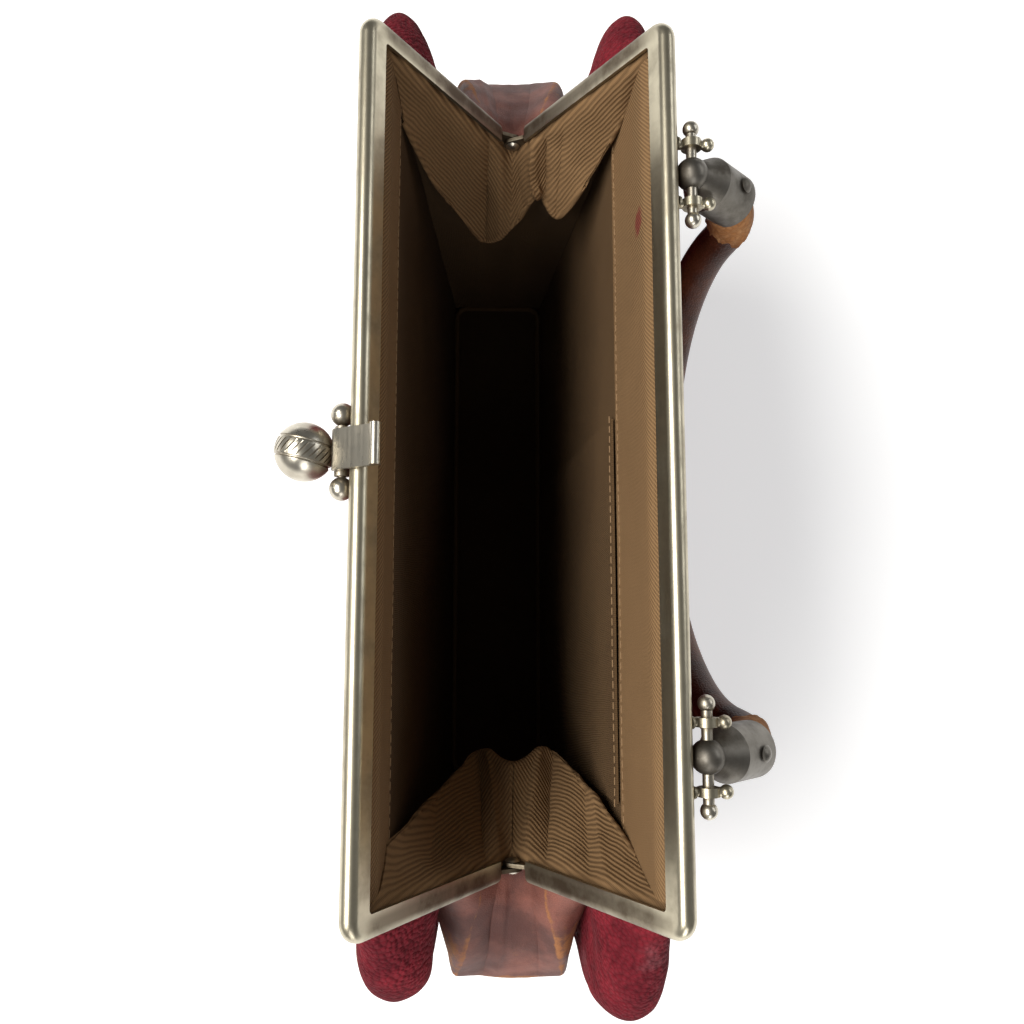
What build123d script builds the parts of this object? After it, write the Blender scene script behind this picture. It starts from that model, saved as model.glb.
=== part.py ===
from build123d import *
from math import asin, atan, cos, degrees, radians, sin, tan
import os

# A frame handbag: two hinged metal half frames hold a carpet bag open.
# X runs along the frame, the clasp is on the -Y side, the handle is on the +Y side.
# The bag stands on its base. Everything is modelled about the point below the hinge
# axis, and is moved at the end so that the origin is the bottom centre of the whole.

# Frame halves, in millimetres
frame_length = 250.0
frame_leg = 71.2            # hinge axis to the centre of the bar
rail_width = 6.8            # depth of the channel, in the plane of the half
rail_thickness = 5.6
rail_wall = 1.0
rail_slot_depth = 4.8
rail_rim_radius = 2.7
frame_corner_radius = 6.0   # outer corner of the U
frame_spread = 41.5         # hinge plane to the centre of an open bar
half_gap = 0.15             # each inner face to the closing plane
leg_end = 6.5               # channel stops this far above the hinge axis

# Knuckles and hinge pins
ear_thickness = 1.2
ear_radius = 3.0
ear_gap = 0.2
ear_overlap = 8.0           # how far an ear runs up inside its channel
ear_inset = 4.2             # outer rim to the outer face of the outer ear
pin_radius = 1.5
pin_clearance = 0.1
pin_head_radius = 2.5
pin_head_height = 1.1

# Heights above the table
hinge_height = 153.0
base_panel_thickness = 2.2
base_board_thickness = 3.0
base_lining_thickness = 0.8
layer_gap = 0.15

# Bag of carpet and leather
carpet_thickness = 2.6
leather_thickness = 1.6
bag_top_gap = 2.4           # carpet edge to the lowest point of the open bar
hem_clearance = 0.5         # cloth to the outward face of the open half
base_shift = -4.0           # the base sits a little towards the clasp side
base_half_width = 27.0
base_end = 130.0

# Lining
lining_thickness = 1.0
lining_end = 116.5
lining_top_spread = 35.5    # hinge plane to the lining at the bars
lining_floor_half_width = 21.5
front_facing_drop = 24.0    # below the bar centres
rear_facing_drop = 45.0
gusset_fold_depth = 19.0
welt_radius = 1.2

# Pocket in the rear lining
pocket_left = -20.0
pocket_right = 100.0
pocket_floor = 16.0
pocket_gap = 1.0
pocket_cloth = 0.8
pocket_seam = 2.0

fit_gap = 0.05              # between pieces that are fixed to each other

# Clasp, measured on the closed front half
clasp_pivot_out = 9.0       # closing plane to the pivot
clasp_pivot_drop = 2.3      # rim of the bar to the pivot
clasp_pin_radius = 1.1
clasp_ball_radius = 3.2
clasp_stem_radius = 1.6
clasp_ball_spacing = 20.2
clasp_barrel_radius = 2.0
clasp_running_gap = 0.15
clasp_plate_width = 11.0
clasp_plate_thickness = 1.3
clasp_plate_reach = 7.4     # past the closing plane
clasp_lift = 0.5            # plate above the path of the rims
knob_radius = 8.0
knob_out = 8.9
knob_up = 5.0
knob_neck_radius = 1.9
knob_seat = 4.4             # bottom of the neck hole to the middle of the knob
knob_band_half_width = 2.6
knob_band_tilt = 14.0
knob_rib_count = 30
knob_rib_depth = 0.4
knob_rib_lean = 32.0

# Handle fittings, measured on the closed rear half
bracket_offset = 80.0
handle_pivot_out = 10.6
handle_pivot_drop = 1.1
post_spacing = 17.6
post_thickness = 2.4
post_eye_radius = 2.9
post_stem_radius = 1.3
post_tip_radius = 1.9
post_tip_out = 4.6
foot_length = 7.0
foot_width = 3.4
foot_thickness = 0.8
rod_radius = 1.5
rod_clearance = 0.15
rod_end_radius = 2.3
rod_overhang = 3.6

# Handle
cap_dome_radius = 4.6
cap_mouth_radius = 7.8
cap_flare = 8.0             # rod to where the cap has its full width
cap_length = 22.0
cap_wall = 0.9
cap_slope = 45.0            # below the horizontal, with the bag open
rivet_radius = 1.4
rivet_head_radius = 2.3
rivet_head_height = 1.1
rivet_place = 16.0
rivet_lift = 0.5            # the middle of the flat head above the round cap
grip_radius = 6.5
grip_seat = 8.5
grip_elbow = 31.0           # pivot to the first bend of the grip
grip_bottom_drop = 102.0
grip_clearance = 0.9        # grip to the carpet

# Worked out from the sizes above
section_centre = half_gap + rail_thickness / 2
bar_radius = (frame_leg**2 + section_centre**2) ** 0.5
open_angle = degrees(asin(frame_spread / bar_radius) - atan(section_centre / frame_leg))
bar_rise = (bar_radius**2 - frame_spread**2) ** 0.5
bar_height = hinge_height + bar_rise
rim = frame_leg + rail_width / 2
throat = frame_leg - rail_width / 2
half_length = frame_length / 2
inner_half_length = half_length - rail_width
outward_face = half_gap + rail_thickness
slope = tan(radians(open_angle))
floor_height = (
    base_panel_thickness + base_board_thickness + base_lining_thickness + 2 * layer_gap
)
bar_lowest = hinge_height + throat * cos(radians(open_angle)) - outward_face * sin(radians(open_angle))
bag_top = bar_lowest - bag_top_gap


def open_out(shape, side):
    """Turn what was modelled on a closed half to its open place. side is -1 in front."""
    return Pos(0, 0, hinge_height) * Rot(-side * open_angle, 0, 0) * shape


def opened(out, up, side):
    """Where a point of a closed half is when the frame is open, as (y, z)."""
    a = radians(open_angle)
    return side * (out * cos(a) + up * sin(a)), hinge_height - out * sin(a) + up * cos(a)


def flat(points, plane, amount, both=False):
    """A prism over a polygon on a plane."""
    return extrude(plane * make_face(Polyline(*points, close=True)), amount, both=both)


def along_x(points, x0, x1):
    """A prism along X over a polygon of (y, z) points."""
    return flat(points, Plane.YZ.offset(x0), x1 - x0)


def domed_head(radius, height):
    """A low dome that stands on the XY plane, for a rivet."""
    ball = (radius**2 + height**2) / (2 * height)
    half = asin(radius / ball) / 2
    top = ThreePointArc(
        (radius, 0), (ball * sin(half), height - ball + ball * cos(half)), (0, height)
    )
    section = make_face([*top.edges(), *Polyline((0, height), (0, 0), (radius, 0)).edges()])
    return revolve(Plane.XZ * section, Axis.Z)


def rod_along_x(radius, x0, x1, y=0, z=0):
    return Pos((x0 + x1) / 2, y, z) * Rot(0, 90, 0) * Cylinder(radius, x1 - x0)


# Frame halves: a channel bent to a U, and a flat ear at each end

def u_plate(outer, top, depth, low):
    """The U in (x, z), from its outer half length and top to a band of one depth."""
    inner = outer - depth
    return [
        (-outer, low), (-outer, top), (outer, top), (outer, low),
        (inner, low), (inner, top - depth), (-inner, top - depth), (-inner, low),
    ]


def make_half(side, ear_x):
    upright = Plane((0, side * section_centre, 0), x_dir=(1, 0, 0), z_dir=(0, -1, 0))
    outline = u_plate(half_length, rim, rail_width, leg_end)
    body = flat(outline, upright, rail_thickness / 2, both=True)
    outer = [
        e for e in body.edges().filter_by(Axis.Y)
        if abs(abs(e.center().X) - half_length) < 0.01 and e.center().Z > leg_end + 1
    ]
    body = fillet(outer, frame_corner_radius)
    inner = [
        e for e in body.edges().filter_by(Axis.Y)
        if abs(abs(e.center().X) - inner_half_length) < 0.01 and e.center().Z > leg_end + 1
    ]
    body = fillet(inner, frame_corner_radius - rail_slot_depth)
    rim_edges = [
        e for e in body.edges()
        if abs(abs(e.center().Y - side * section_centre) - rail_thickness / 2) < 0.01
        and is_on_rim(e)
    ]
    body = fillet(rim_edges, rail_rim_radius)
    slot_outline = u_plate(
        inner_half_length + rail_slot_depth, throat + rail_slot_depth,
        rail_slot_depth + 1, leg_end - 1,
    )
    slot = flat(slot_outline, upright, rail_thickness / 2 - rail_wall, both=True)
    slot_corners = [
        e for e in slot.edges().filter_by(Axis.Y)
        if e.center().Z > throat and abs(e.center().X) > inner_half_length + 1
    ]
    body -= fillet(slot_corners, frame_corner_radius - rail_wall)
    for end in (-1, 1):
        body += make_ear(side, end * ear_x)
    return body


def is_on_rim(edge):
    """True for the edges of the outer outline of a half, and not of the throat."""
    centre = edge.center()
    on_leg = abs(abs(centre.X) - half_length) < 0.01 and centre.Z > leg_end + 1
    on_bar = abs(centre.Z - rim) < 0.01
    in_corner = abs(centre.X) > inner_half_length + 1 and centre.Z > throat + 1
    return on_leg or on_bar or in_corner


def make_ear(side, x):
    """A flat ear about the pin, from its middle plane at x, that fills the channel end."""
    out = side * outward_face
    near = side * half_gap
    start = leg_end - 0.5
    face = Plane.YZ.offset(x)
    disc = face * Circle(ear_radius)
    strap = face * make_face(
        Polyline(
            (near, start), (out - side * rail_wall / 2, start),
            (out - side * rail_wall / 2, start + ear_overlap), (near, start + ear_overlap),
            close=True,
        )
    )
    web = face * make_hull([*Circle(ear_radius).edges(), *Polyline(
        (near, start), (out - side * rail_wall / 2, start)).edges()])
    ear = extrude(disc + web + strap, ear_thickness / 2, both=True)
    hole = face * Circle(pin_radius + pin_clearance)
    return ear - extrude(hole, ear_thickness, both=True)


outer_ear = half_length - ear_inset + ear_thickness / 2
inner_ear = outer_ear - ear_thickness - ear_gap


def make_hinge_pin(end):
    """A rivet through both ears, with a low domed head at each side."""
    inner_face = inner_ear - ear_thickness / 2 - ear_gap
    outer_face = outer_ear + ear_thickness / 2 + ear_gap
    head = domed_head(pin_head_radius, pin_head_height)
    pin = rod_along_x(pin_radius, inner_face, outer_face)
    pin += Pos(outer_face, 0, 0) * Rot(0, 90, 0) * head
    pin += Pos(inner_face, 0, 0) * Rot(0, -90, 0) * head
    return pin if end > 0 else mirror(pin, Plane.YZ)


# Clasp on the front half: modelled outwards of +Y and turned to the front at the end

clasp_up = rim - clasp_pivot_drop
plate_under = (rim**2 + section_centre**2) ** 0.5 + clasp_lift


def at_front(shape):
    return open_out(mirror(shape, Plane.XZ), -1)


def make_clasp_posts():
    """Two balls on short stems, on the outward face of the bar."""
    bury = 0.4 * clasp_ball_radius
    stem_up = clasp_up - 0.6 * clasp_ball_radius
    stem_length = clasp_pivot_out - outward_face
    posts = []
    for way in (-1, 1):
        x = way * clasp_ball_spacing / 2
        post = Pos(x, clasp_pivot_out, clasp_up) * Sphere(clasp_ball_radius)
        post += (
            Pos(x, outward_face + stem_length / 2, stem_up)
            * Rot(90, 0, 0)
            * Cylinder(clasp_stem_radius, stem_length)
        )
        ends = sorted((x - 2 * way * clasp_ball_radius, x + way * bury))
        post -= rod_along_x(clasp_pin_radius, *ends, clasp_pivot_out, clasp_up)
        posts.append(post)
    return posts


def make_clasp_pin():
    reach = clasp_ball_spacing / 2 + 0.4 * clasp_ball_radius - 0.1
    return rod_along_x(clasp_pin_radius, -reach, reach, clasp_pivot_out, clasp_up)


def make_clasp_lever():
    """Barrel on the pin, a plate that laps over both bars with a rolled end, and a neck."""
    barrel_length = clasp_ball_spacing - 2 * clasp_ball_radius - 2 * clasp_running_gap
    axis = Plane((0, clasp_pivot_out, clasp_up), z_dir=(1, 0, 0))
    lever = axis * Cylinder(clasp_barrel_radius, barrel_length)
    top = plate_under + clasp_plate_thickness
    start = clasp_pivot_out + clasp_barrel_radius * 0.5
    end = -clasp_plate_reach
    end_under = (plate_under**2 - clasp_plate_reach**2) ** 0.5
    profile = [
        (start, clasp_up), (start, top - 1.2), (start - 1.6, top),
        (end + 1.0, end_under + clasp_plate_thickness), (end + 1.0, end_under),
        (0, plate_under), (outward_face, plate_under), (clasp_pivot_out - 1.2, clasp_up),
    ]
    half = clasp_plate_width / 2
    lever += along_x(profile, -half, half)
    bead = clasp_plate_thickness * 1.15
    roll = Pos(0, end + bead, end_under + bead + 0.05) * Rot(0, 90, 0)
    lever += roll * Cylinder(bead, clasp_plate_width)
    reach = (knob_out**2 + knob_up**2) ** 0.5
    neck_axis = Plane((0, clasp_pivot_out, clasp_up), z_dir=(0, knob_out, knob_up))
    lever += extrude(neck_axis * Circle(knob_neck_radius), reach - knob_seat - fit_gap)
    lever -= axis * Cylinder(clasp_pin_radius + clasp_running_gap, clasp_ball_spacing)
    return lever


def knob_plane():
    centre = (0, clasp_pivot_out + knob_out, clasp_up + knob_up)
    return Plane(centre, x_dir=(1, 0, 0), z_dir=(0, knob_out, knob_up))


def make_clasp_knob():
    """A ball with a slanting band between two grooves. The band has milled ribs."""
    ball = Sphere(knob_radius)
    half = knob_band_half_width
    groove = knob_rib_depth
    for place in (-half, half):
        ring_radius = (knob_radius**2 - place**2) ** 0.5
        ball -= Pos(0, 0, place) * Torus(ring_radius, groove)
    for n in range(knob_rib_count):
        turn = 360 / knob_rib_count * n
        rib = Rot(0, 0, turn) * Pos(knob_radius, 0, 0) * Rot(knob_rib_lean, 0, 0)
        ball -= rib * Box(2 * knob_rib_depth, knob_rib_depth, 2 * half * 0.92)
    ball = Rot(0, 90 - knob_band_tilt, 90) * ball
    ball = knob_plane() * ball
    reach = (knob_out**2 + knob_up**2) ** 0.5
    neck_axis = Plane((0, clasp_pivot_out, clasp_up), z_dir=(0, knob_out, knob_up))
    return ball - extrude(neck_axis * Circle(knob_neck_radius + fit_gap), reach - knob_seat)


def make_clasp_spring():
    """A leaf on the bar that presses up under the barrel."""
    thickness = 0.4
    half = 4.0
    low = clasp_up - 6.0
    tip = clasp_up - clasp_barrel_radius - 0.3
    points = [
        (outward_face, low), (outward_face + thickness, low),
        (outward_face + thickness, tip - 2.0), (clasp_pivot_out + 0.5, tip - 0.1),
        (clasp_pivot_out + 0.2, tip), (outward_face, tip - 1.6),
    ]
    return along_x(points, -half, half)


# Handle fittings on the rear half

rod_up = rim - handle_pivot_drop


def at_rear(shape):
    return open_out(shape, 1)


def make_post(x):
    """A foot on the bar, a stem, an eye about the rod and a ball tip."""
    foot_up = rod_up - 3.4
    foot = Pos(x, outward_face + foot_thickness / 2, foot_up) * Box(
        foot_width, foot_thickness, foot_length
    )
    foot = fillet(foot.edges().filter_by(Axis.Y), foot_width * 0.45)
    start = Vector(x, outward_face, foot_up)
    eye = Vector(x, handle_pivot_out, rod_up)
    tip = eye + (eye - start).normalized() * post_tip_out
    post = foot + Plane(start, z_dir=tip - start) * Pos(0, 0, (tip - start).length / 2) * Cylinder(
        post_stem_radius, (tip - start).length
    )
    post += Pos(*eye) * Rot(0, 90, 0) * Cylinder(post_eye_radius, post_thickness)
    post += Pos(*tip) * Sphere(post_tip_radius)
    post -= Pos(*eye) * Rot(0, 90, 0) * Cylinder(rod_radius + 0.05, 3 * post_thickness)
    return post - Pos(x, outward_face - 5, foot_up) * Box(20, 10, 20)


def make_rod(x):
    length = post_spacing + post_thickness + 2 * rod_overhang
    centre = Pos(x, handle_pivot_out, rod_up)
    rod = centre * Rot(0, 90, 0) * Cylinder(rod_radius, length)
    for way in (-1, 1):
        rod += centre * Pos(way * length / 2, 0, 0) * Sphere(rod_end_radius)
    return rod


# Handle, modelled in its open place

pivot_y, pivot_z = opened(handle_pivot_out, rod_up, 1)
cap_y = cos(radians(cap_slope))
cap_z = -sin(radians(cap_slope))


def on_cap(x, distance):
    """A plane across the cap's axis, at a distance from the rod."""
    return Plane(
        (x, pivot_y + distance * cap_y, pivot_z + distance * cap_z),
        x_dir=(1, 0, 0), z_dir=(0, cap_y, cap_z),
    )


def make_cap(x):
    """A sheet cap: a dome about the rod that widens to a socket that holds the leather."""
    bottom = (Align.CENTER, Align.CENTER, Align.MIN)
    shoulder = cap_dome_radius * 0.34
    shoulder_radius = (cap_dome_radius**2 - shoulder**2) ** 0.5 - 0.05
    cap = Sphere(cap_dome_radius)
    cap += Pos(0, 0, shoulder) * Cone(
        shoulder_radius, cap_mouth_radius, cap_flare - shoulder, align=bottom
    )
    cap += Pos(0, 0, cap_flare) * Cylinder(
        cap_mouth_radius, cap_length - cap_flare, align=bottom
    )
    cap -= Pos(0, 0, grip_seat) * Cylinder(grip_radius + fit_gap, cap_length, align=bottom)
    cap -= Pos(0, 0, rod_radius) * Cylinder(cap_dome_radius - 2 * cap_wall, cap_length, align=bottom)
    cap -= rod_along_x(rod_radius + rod_clearance, -2 * cap_dome_radius, 2 * cap_dome_radius)
    cap -= Rot(90, 0, 0) * Pos(0, rivet_place, 0) * Cylinder(
        rivet_radius + fit_gap, 2 * cap_mouth_radius, align=bottom
    )
    return on_cap(x, 0) * cap


def make_rivet(x):
    """Through the outward side of the cap, with a domed head."""
    start = grip_radius + 2 * fit_gap
    end = cap_mouth_radius + rivet_lift
    rivet = Pos(0, 0, start) * Cylinder(
        rivet_radius, end - start, align=(Align.CENTER, Align.CENTER, Align.MIN)
    )
    rivet += Pos(0, 0, end - fit_gap) * domed_head(rivet_head_radius, rivet_head_height)
    return on_cap(x, rivet_place) * Rot(90, 0, 0) * rivet


def grip_points():
    """The corners of the grip's route, from the left cap to the right one."""
    carpet = bag_half_width(bar_height - 80) + grip_clearance + grip_radius
    elbow = (pivot_y + grip_elbow * cap_y, pivot_z + grip_elbow * cap_z)
    bottom = bar_height - grip_bottom_drop
    depth = elbow[1] - bottom
    half = [
        (bracket_offset, pivot_y + (grip_seat + 0.3) * cap_y, pivot_z + (grip_seat + 0.3) * cap_z),
        (bracket_offset, *elbow),
        (bracket_offset * 0.92, carpet + 3.5, elbow[1] - depth * 0.37),
        (bracket_offset * 0.55, carpet, elbow[1] - depth * 0.83),
    ]
    left = [(-x, y, z) for x, y, z in half]
    return [*left, (0, carpet, bottom), *reversed(half)]


def make_grip():
    """A round leather tube along straight runs joined by wide arcs."""
    points = [Vector(*p) for p in grip_points()]
    radii = []
    for a, b, c in zip(points, points[1:], points[2:]):
        turn = radians((b - a).get_angle(c - b))
        radii.append(0.45 * min((b - a).length, (c - b).length) / tan(turn / 2))
    path = FilletPolyline(*points, radius=radii)
    section = Plane(points[0], z_dir=points[1] - points[0]) * Circle(grip_radius)
    return sweep(section, path=path)


# Bag walls: levels from the base to the frame, as height, half width, half length at the
# corners, half length at the middle of the gusset, its half width, shift and squareness

bag_levels = [
    (0.0, base_half_width, base_end - 1, base_end, 13.0, base_shift, 8),
    (16.0, 33.0, 140, 142, 15.0, base_shift * 0.9, 5),
    (50.0, 41.5, 152, 156, 16.5, base_shift * 0.6, 4),
    (85.0, 47.0, 158, 164, 17.5, base_shift * 0.3, 3.6),
    (112.0, 49.0, 160, 167.5, 17.5, base_shift * 0.15, 3.4),
    (134.0, 49.5, 158, 156, 13.5, 0, 3.4),
    (hinge_height - 2, 49.2, 156, half_length + 3.4, 8.5, 0, 3.4),
]
shoulder_levels = [
    (12.0, 48.4, 153, 3.6), (28.0, 46.8, 147, 4.2), (bag_top - hinge_height, 44.4, 129, 8),
]
for rise, width, corner, squareness in shoulder_levels:
    opening = min(rise * slope + hem_clearance + 8.0, width - 4)
    bag_levels.append((hinge_height + rise, width, corner, corner, opening, 0, squareness))
wall_steps = 7


def bag_half_width(height):
    """The outer half width of the bag at a height, by straight steps between levels."""
    for low, high in zip(bag_levels, bag_levels[1:]):
        if low[0] <= height <= high[0]:
            share = (height - low[0]) / (high[0] - low[0])
            return low[1] + share * (high[1] - low[1])
    return bag_levels[-1][1]


def seam_x(level):
    """Where the seam between carpet and gusset lies, near the corner of the bag."""
    height, width, corner, end, seam, shift, squareness = level
    return (2 * corner + end) / 3 if height < hinge_height else corner - 2


def strip(level, outer, inner):
    """The section of a sheet at one level, between its outer and inner lines."""
    return Plane.XY.offset(level[0]) * make_face(Polyline(*outer, *reversed(inner), close=True))


def panel_line(level, side, inset):
    """One side of the bag in plan, from the right seam round to the left seam."""
    height, width, corner, end, seam, shift, squareness = level
    half = [(seam_x(level) - inset, side * (seam + layer_gap) + shift)]
    share = min((seam + 1.5) / (width - inset), 0.97)
    start = degrees(asin(share ** (squareness / 2)))
    for n in range(1, wall_steps + 1):
        angle = radians(start + (90 - start) * n / wall_steps)
        x = (corner - inset) * cos(angle) ** (2 / squareness) if n < wall_steps else 0
        half.append((x, side * (width - inset) * sin(angle) ** (2 / squareness) + shift))
    return half + [(-x, y) for x, y in reversed(half[:-1])]


def make_panel(side):
    sections = [
        strip(level, panel_line(level, side, 0), panel_line(level, side, carpet_thickness))
        for level in bag_levels
    ]
    return loft(sections, ruled=True)


def gusset_line(level, inset):
    height, width, corner, end, seam, shift, squareness = level
    side_x = seam_x(level)
    bulge = end - side_x
    shape = [(-1, 0), (-0.5, 0.7), (0, 1), (0.5, 0.7), (1, 0)]
    return [(side_x + bulge * d - inset, seam * s + shift) for s, d in shape]


def make_gusset():
    levels = [level for level in bag_levels if level[0] < hinge_height]
    sections = [
        strip(level, gusset_line(level, 0), gusset_line(level, leather_thickness))
        for level in levels
    ]
    return loft(sections, ruled=True)


def vee(clearance, x0, x1):
    """The space between and just outside the open halves, along one stretch of X."""
    out = clearance / cos(radians(open_angle))
    apex = hinge_height - out / slope
    top = bar_height + 20
    spread = (top - apex) * slope
    return along_x([(0, apex), (spread, top), (-spread, top)], x0, x1)


# Lining walls, straight from the base to the bars

floor_front = base_shift - lining_floor_half_width
floor_rear = base_shift + lining_floor_half_width
lining_top = opened(section_centre, throat, 1)[1] - bag_top_gap - 3.4


def lining_y(height, side):
    """The inner face of the front or rear lining at a height."""
    foot = floor_front if side < 0 else floor_rear
    share = (height - floor_height) / (lining_top - floor_height)
    return foot + (side * lining_top_spread - foot) * share


def lining_slab(side, inner, outer, low, high, x0, x1):
    """A slab that follows a lining wall, between two offsets from its inner face."""
    points = [
        (lining_y(low, side) + side * inner, low), (lining_y(high, side) + side * inner, high),
        (lining_y(high, side) + side * outer, high), (lining_y(low, side) + side * outer, low),
    ]
    return along_x(points, x0, x1)


def make_gusset_lining():
    """The end of the lining: two folds bulge inwards below the hinge, at the right end."""
    levels = [
        (floor_height + 0.1, 0.0), (70.0, 0.42), (hinge_height - 37, 1.0),
        (hinge_height - 12, 0.5), (hinge_height - 1, 0.0),
    ]
    half_fold = [
        (0, 0), (0.09, 0.22), (0.18, 0.55), (0.26, 0.88), (0.34, 1.0), (0.42, 0.84), (0.5, 0.7),
    ]
    fold_shape = half_fold + [(1 - s, d) for s, d in reversed(half_fold[:-1])]
    face_x = lining_end
    sections = []
    for height, fold in levels:
        front = lining_y(height, -1) + 0.2
        rear = lining_y(height, 1) - 0.2
        inner = [
            (face_x - lining_thickness - fold * gusset_fold_depth * d, front + (rear - front) * s)
            for s, d in fold_shape
        ]
        outer = [(x + lining_thickness, y) for x, y in inner]
        outline = Polyline(*inner, *reversed(outer), close=True)
        sections.append(Plane.XY.offset(height) * make_face(outline))
    wall = loft(sections, ruled=True)
    low = hinge_height - 1.05
    high = lining_top
    flap = along_x(
        [
            (lining_y(low, -1) + 0.2, low), (lining_y(low, 1) - 0.2, low),
            (lining_y(high, 1) - 0.2, high), (lining_y(high, -1) + 0.2, high),
        ],
        face_x - lining_thickness, face_x,
    )
    flap -= vee(0, face_x - 5, face_x + 5)
    return wall + flap


def rounded_plate(half_x, half_y, thickness, z, radius):
    plate = Pos(0, base_shift, z + thickness / 2) * Box(2 * half_x, 2 * half_y, thickness)
    return fillet(plate.edges().filter_by(Axis.Z), radius)


def make_base_welt():
    """A piped seam round the edge of the inside base."""
    half_x = lining_end - lining_thickness - welt_radius - 0.6
    half_y = lining_floor_half_width - welt_radius - 0.1
    z = floor_height + welt_radius + 0.05
    outer = Plane.XY.offset(z) * Pos(0, base_shift) * Rectangle(2 * half_x, 2 * half_y)
    path = fillet(outer.vertices(), 5).wire()
    section = Plane(path @ 0, z_dir=path % 0) * Circle(welt_radius)
    return sweep(section, path=path, transition=Transition.ROUND)


parts = {}

parts["front_frame"] = open_out(make_half(-1, outer_ear), -1)
parts["rear_frame"] = open_out(make_half(1, inner_ear), 1)
for name, end in (("left", -1), ("right", 1)):
    parts[f"hinge_pin_{name}"] = at_rear(make_hinge_pin(end))

parts["clasp_posts"] = Compound([at_front(post) for post in make_clasp_posts()])
parts["clasp_pin"] = at_front(make_clasp_pin())
parts["clasp_lever"] = at_front(make_clasp_lever())
parts["clasp_knob"] = at_front(make_clasp_knob())
parts["clasp_spring"] = at_front(make_clasp_spring())

for name, end in (("left", -1), ("right", 1)):
    x = end * bracket_offset
    posts = [at_rear(make_post(x + way * post_spacing / 2)) for way in (-1, 1)]
    parts[f"handle_posts_{name}"] = Compound(posts)
    parts[f"handle_rod_{name}"] = at_rear(make_rod(x))
    parts[f"handle_cap_{name}"] = make_cap(x)
    parts[f"cap_rivet_{name}"] = make_rivet(x)
parts["handle_grip"] = make_grip()

parts["front_panel"] = make_panel(-1)
parts["rear_panel"] = make_panel(1)
parts["gusset_right"] = make_gusset()
parts["gusset_left"] = mirror(parts["gusset_right"], Plane.YZ)

parts["base_panel"] = rounded_plate(
    base_end - 8, base_half_width - carpet_thickness - 2.0, base_panel_thickness, 0, 8
)
board_z = base_panel_thickness + layer_gap
parts["base_board"] = rounded_plate(
    lining_end - 0.5, lining_floor_half_width - 1.5, base_board_thickness, board_z, 4
)
lining_z = board_z + base_board_thickness + layer_gap
parts["base_lining"] = rounded_plate(
    lining_end - lining_thickness, lining_floor_half_width, base_lining_thickness, lining_z, 4
)
parts["base_welt"] = make_base_welt()

wall_end = lining_end - lining_thickness - 0.2
front_seam = bar_height - front_facing_drop
rear_seam = bar_height - rear_facing_drop
foot = floor_height + 0.1
for name, side, seam in (("front", -1, front_seam), ("rear", 1, rear_seam)):
    parts[f"{name}_lining"] = lining_slab(
        side, 0, lining_thickness, foot, seam, -wall_end, wall_end
    )
    parts[f"{name}_facing"] = lining_slab(
        side, 0, lining_thickness, seam, lining_top, -wall_end, wall_end
    )

pocket = lining_slab(
    1, -pocket_gap - pocket_cloth, 0, pocket_floor, rear_seam, pocket_left, pocket_right
)
pocket -= lining_slab(
    1, -pocket_gap, 0.5, pocket_floor + pocket_seam, rear_seam + 1,
    pocket_left + pocket_seam, pocket_right - pocket_seam,
)
parts["pocket_panel"] = pocket

parts["gusset_lining_right"] = make_gusset_lining()
parts["gusset_lining_left"] = mirror(parts["gusset_lining_right"], Plane.YZ)

boxes = [shape.bounding_box() for shape in parts.values()]
middle_x = (min(b.min.X for b in boxes) + max(b.max.X for b in boxes)) / 2
middle_y = (min(b.min.Y for b in boxes) + max(b.max.Y for b in boxes)) / 2
lowest = min(b.min.Z for b in boxes)
to_origin = Pos(-middle_x, -middle_y, -lowest)

os.makedirs("parts", exist_ok=True)
for name, shape in parts.items():
    export_step(to_origin * shape, f"parts/{name}.step")

clasp_y, clasp_z = opened(clasp_pivot_out, clasp_up, -1)
print(f"moved by {-middle_x:.4f} {-middle_y:.4f} {-lowest:.4f}, open angle {open_angle:.4f}")
print(f"hinge axis y {-middle_y:.4f} z {hinge_height - lowest:.4f}")
print(f"clasp axis y {clasp_y - middle_y:.4f} z {clasp_z - lowest:.4f}")
print(f"handle axis y {pivot_y - middle_y:.4f} z {pivot_z - lowest:.4f}")
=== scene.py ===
import math

import bpy
import numpy as np
from mathutils import Matrix, Vector, noise


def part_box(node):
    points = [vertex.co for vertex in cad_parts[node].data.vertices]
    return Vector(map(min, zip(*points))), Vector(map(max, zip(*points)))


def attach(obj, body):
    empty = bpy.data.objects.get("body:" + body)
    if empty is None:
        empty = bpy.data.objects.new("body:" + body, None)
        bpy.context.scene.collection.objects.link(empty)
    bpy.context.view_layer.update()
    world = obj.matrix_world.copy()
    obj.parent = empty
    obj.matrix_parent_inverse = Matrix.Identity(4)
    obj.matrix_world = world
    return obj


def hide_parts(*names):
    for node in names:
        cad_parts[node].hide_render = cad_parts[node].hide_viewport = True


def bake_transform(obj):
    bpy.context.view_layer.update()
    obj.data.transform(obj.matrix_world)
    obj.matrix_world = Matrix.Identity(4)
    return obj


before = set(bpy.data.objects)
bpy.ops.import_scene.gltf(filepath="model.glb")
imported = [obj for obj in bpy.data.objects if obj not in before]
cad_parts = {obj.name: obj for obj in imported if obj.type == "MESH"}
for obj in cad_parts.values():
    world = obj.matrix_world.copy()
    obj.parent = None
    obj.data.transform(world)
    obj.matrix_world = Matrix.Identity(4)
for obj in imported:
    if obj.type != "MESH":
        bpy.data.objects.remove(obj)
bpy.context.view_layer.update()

# Sizes in millimetres, measured from the hinge plane, as in the part's source
MM = 0.001
pin_low, pin_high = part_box("hinge_pin_right")
HINGE_Y = (pin_low.y + pin_high.y) / 2 / MM
HINGE_Z = (pin_low.z + pin_high.z) / 2 / MM
OPEN_ANGLE = math.radians(33.2445)
SLOPE = math.tan(OPEN_ANGLE)
LEG_MIDDLE = 2.95
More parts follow.
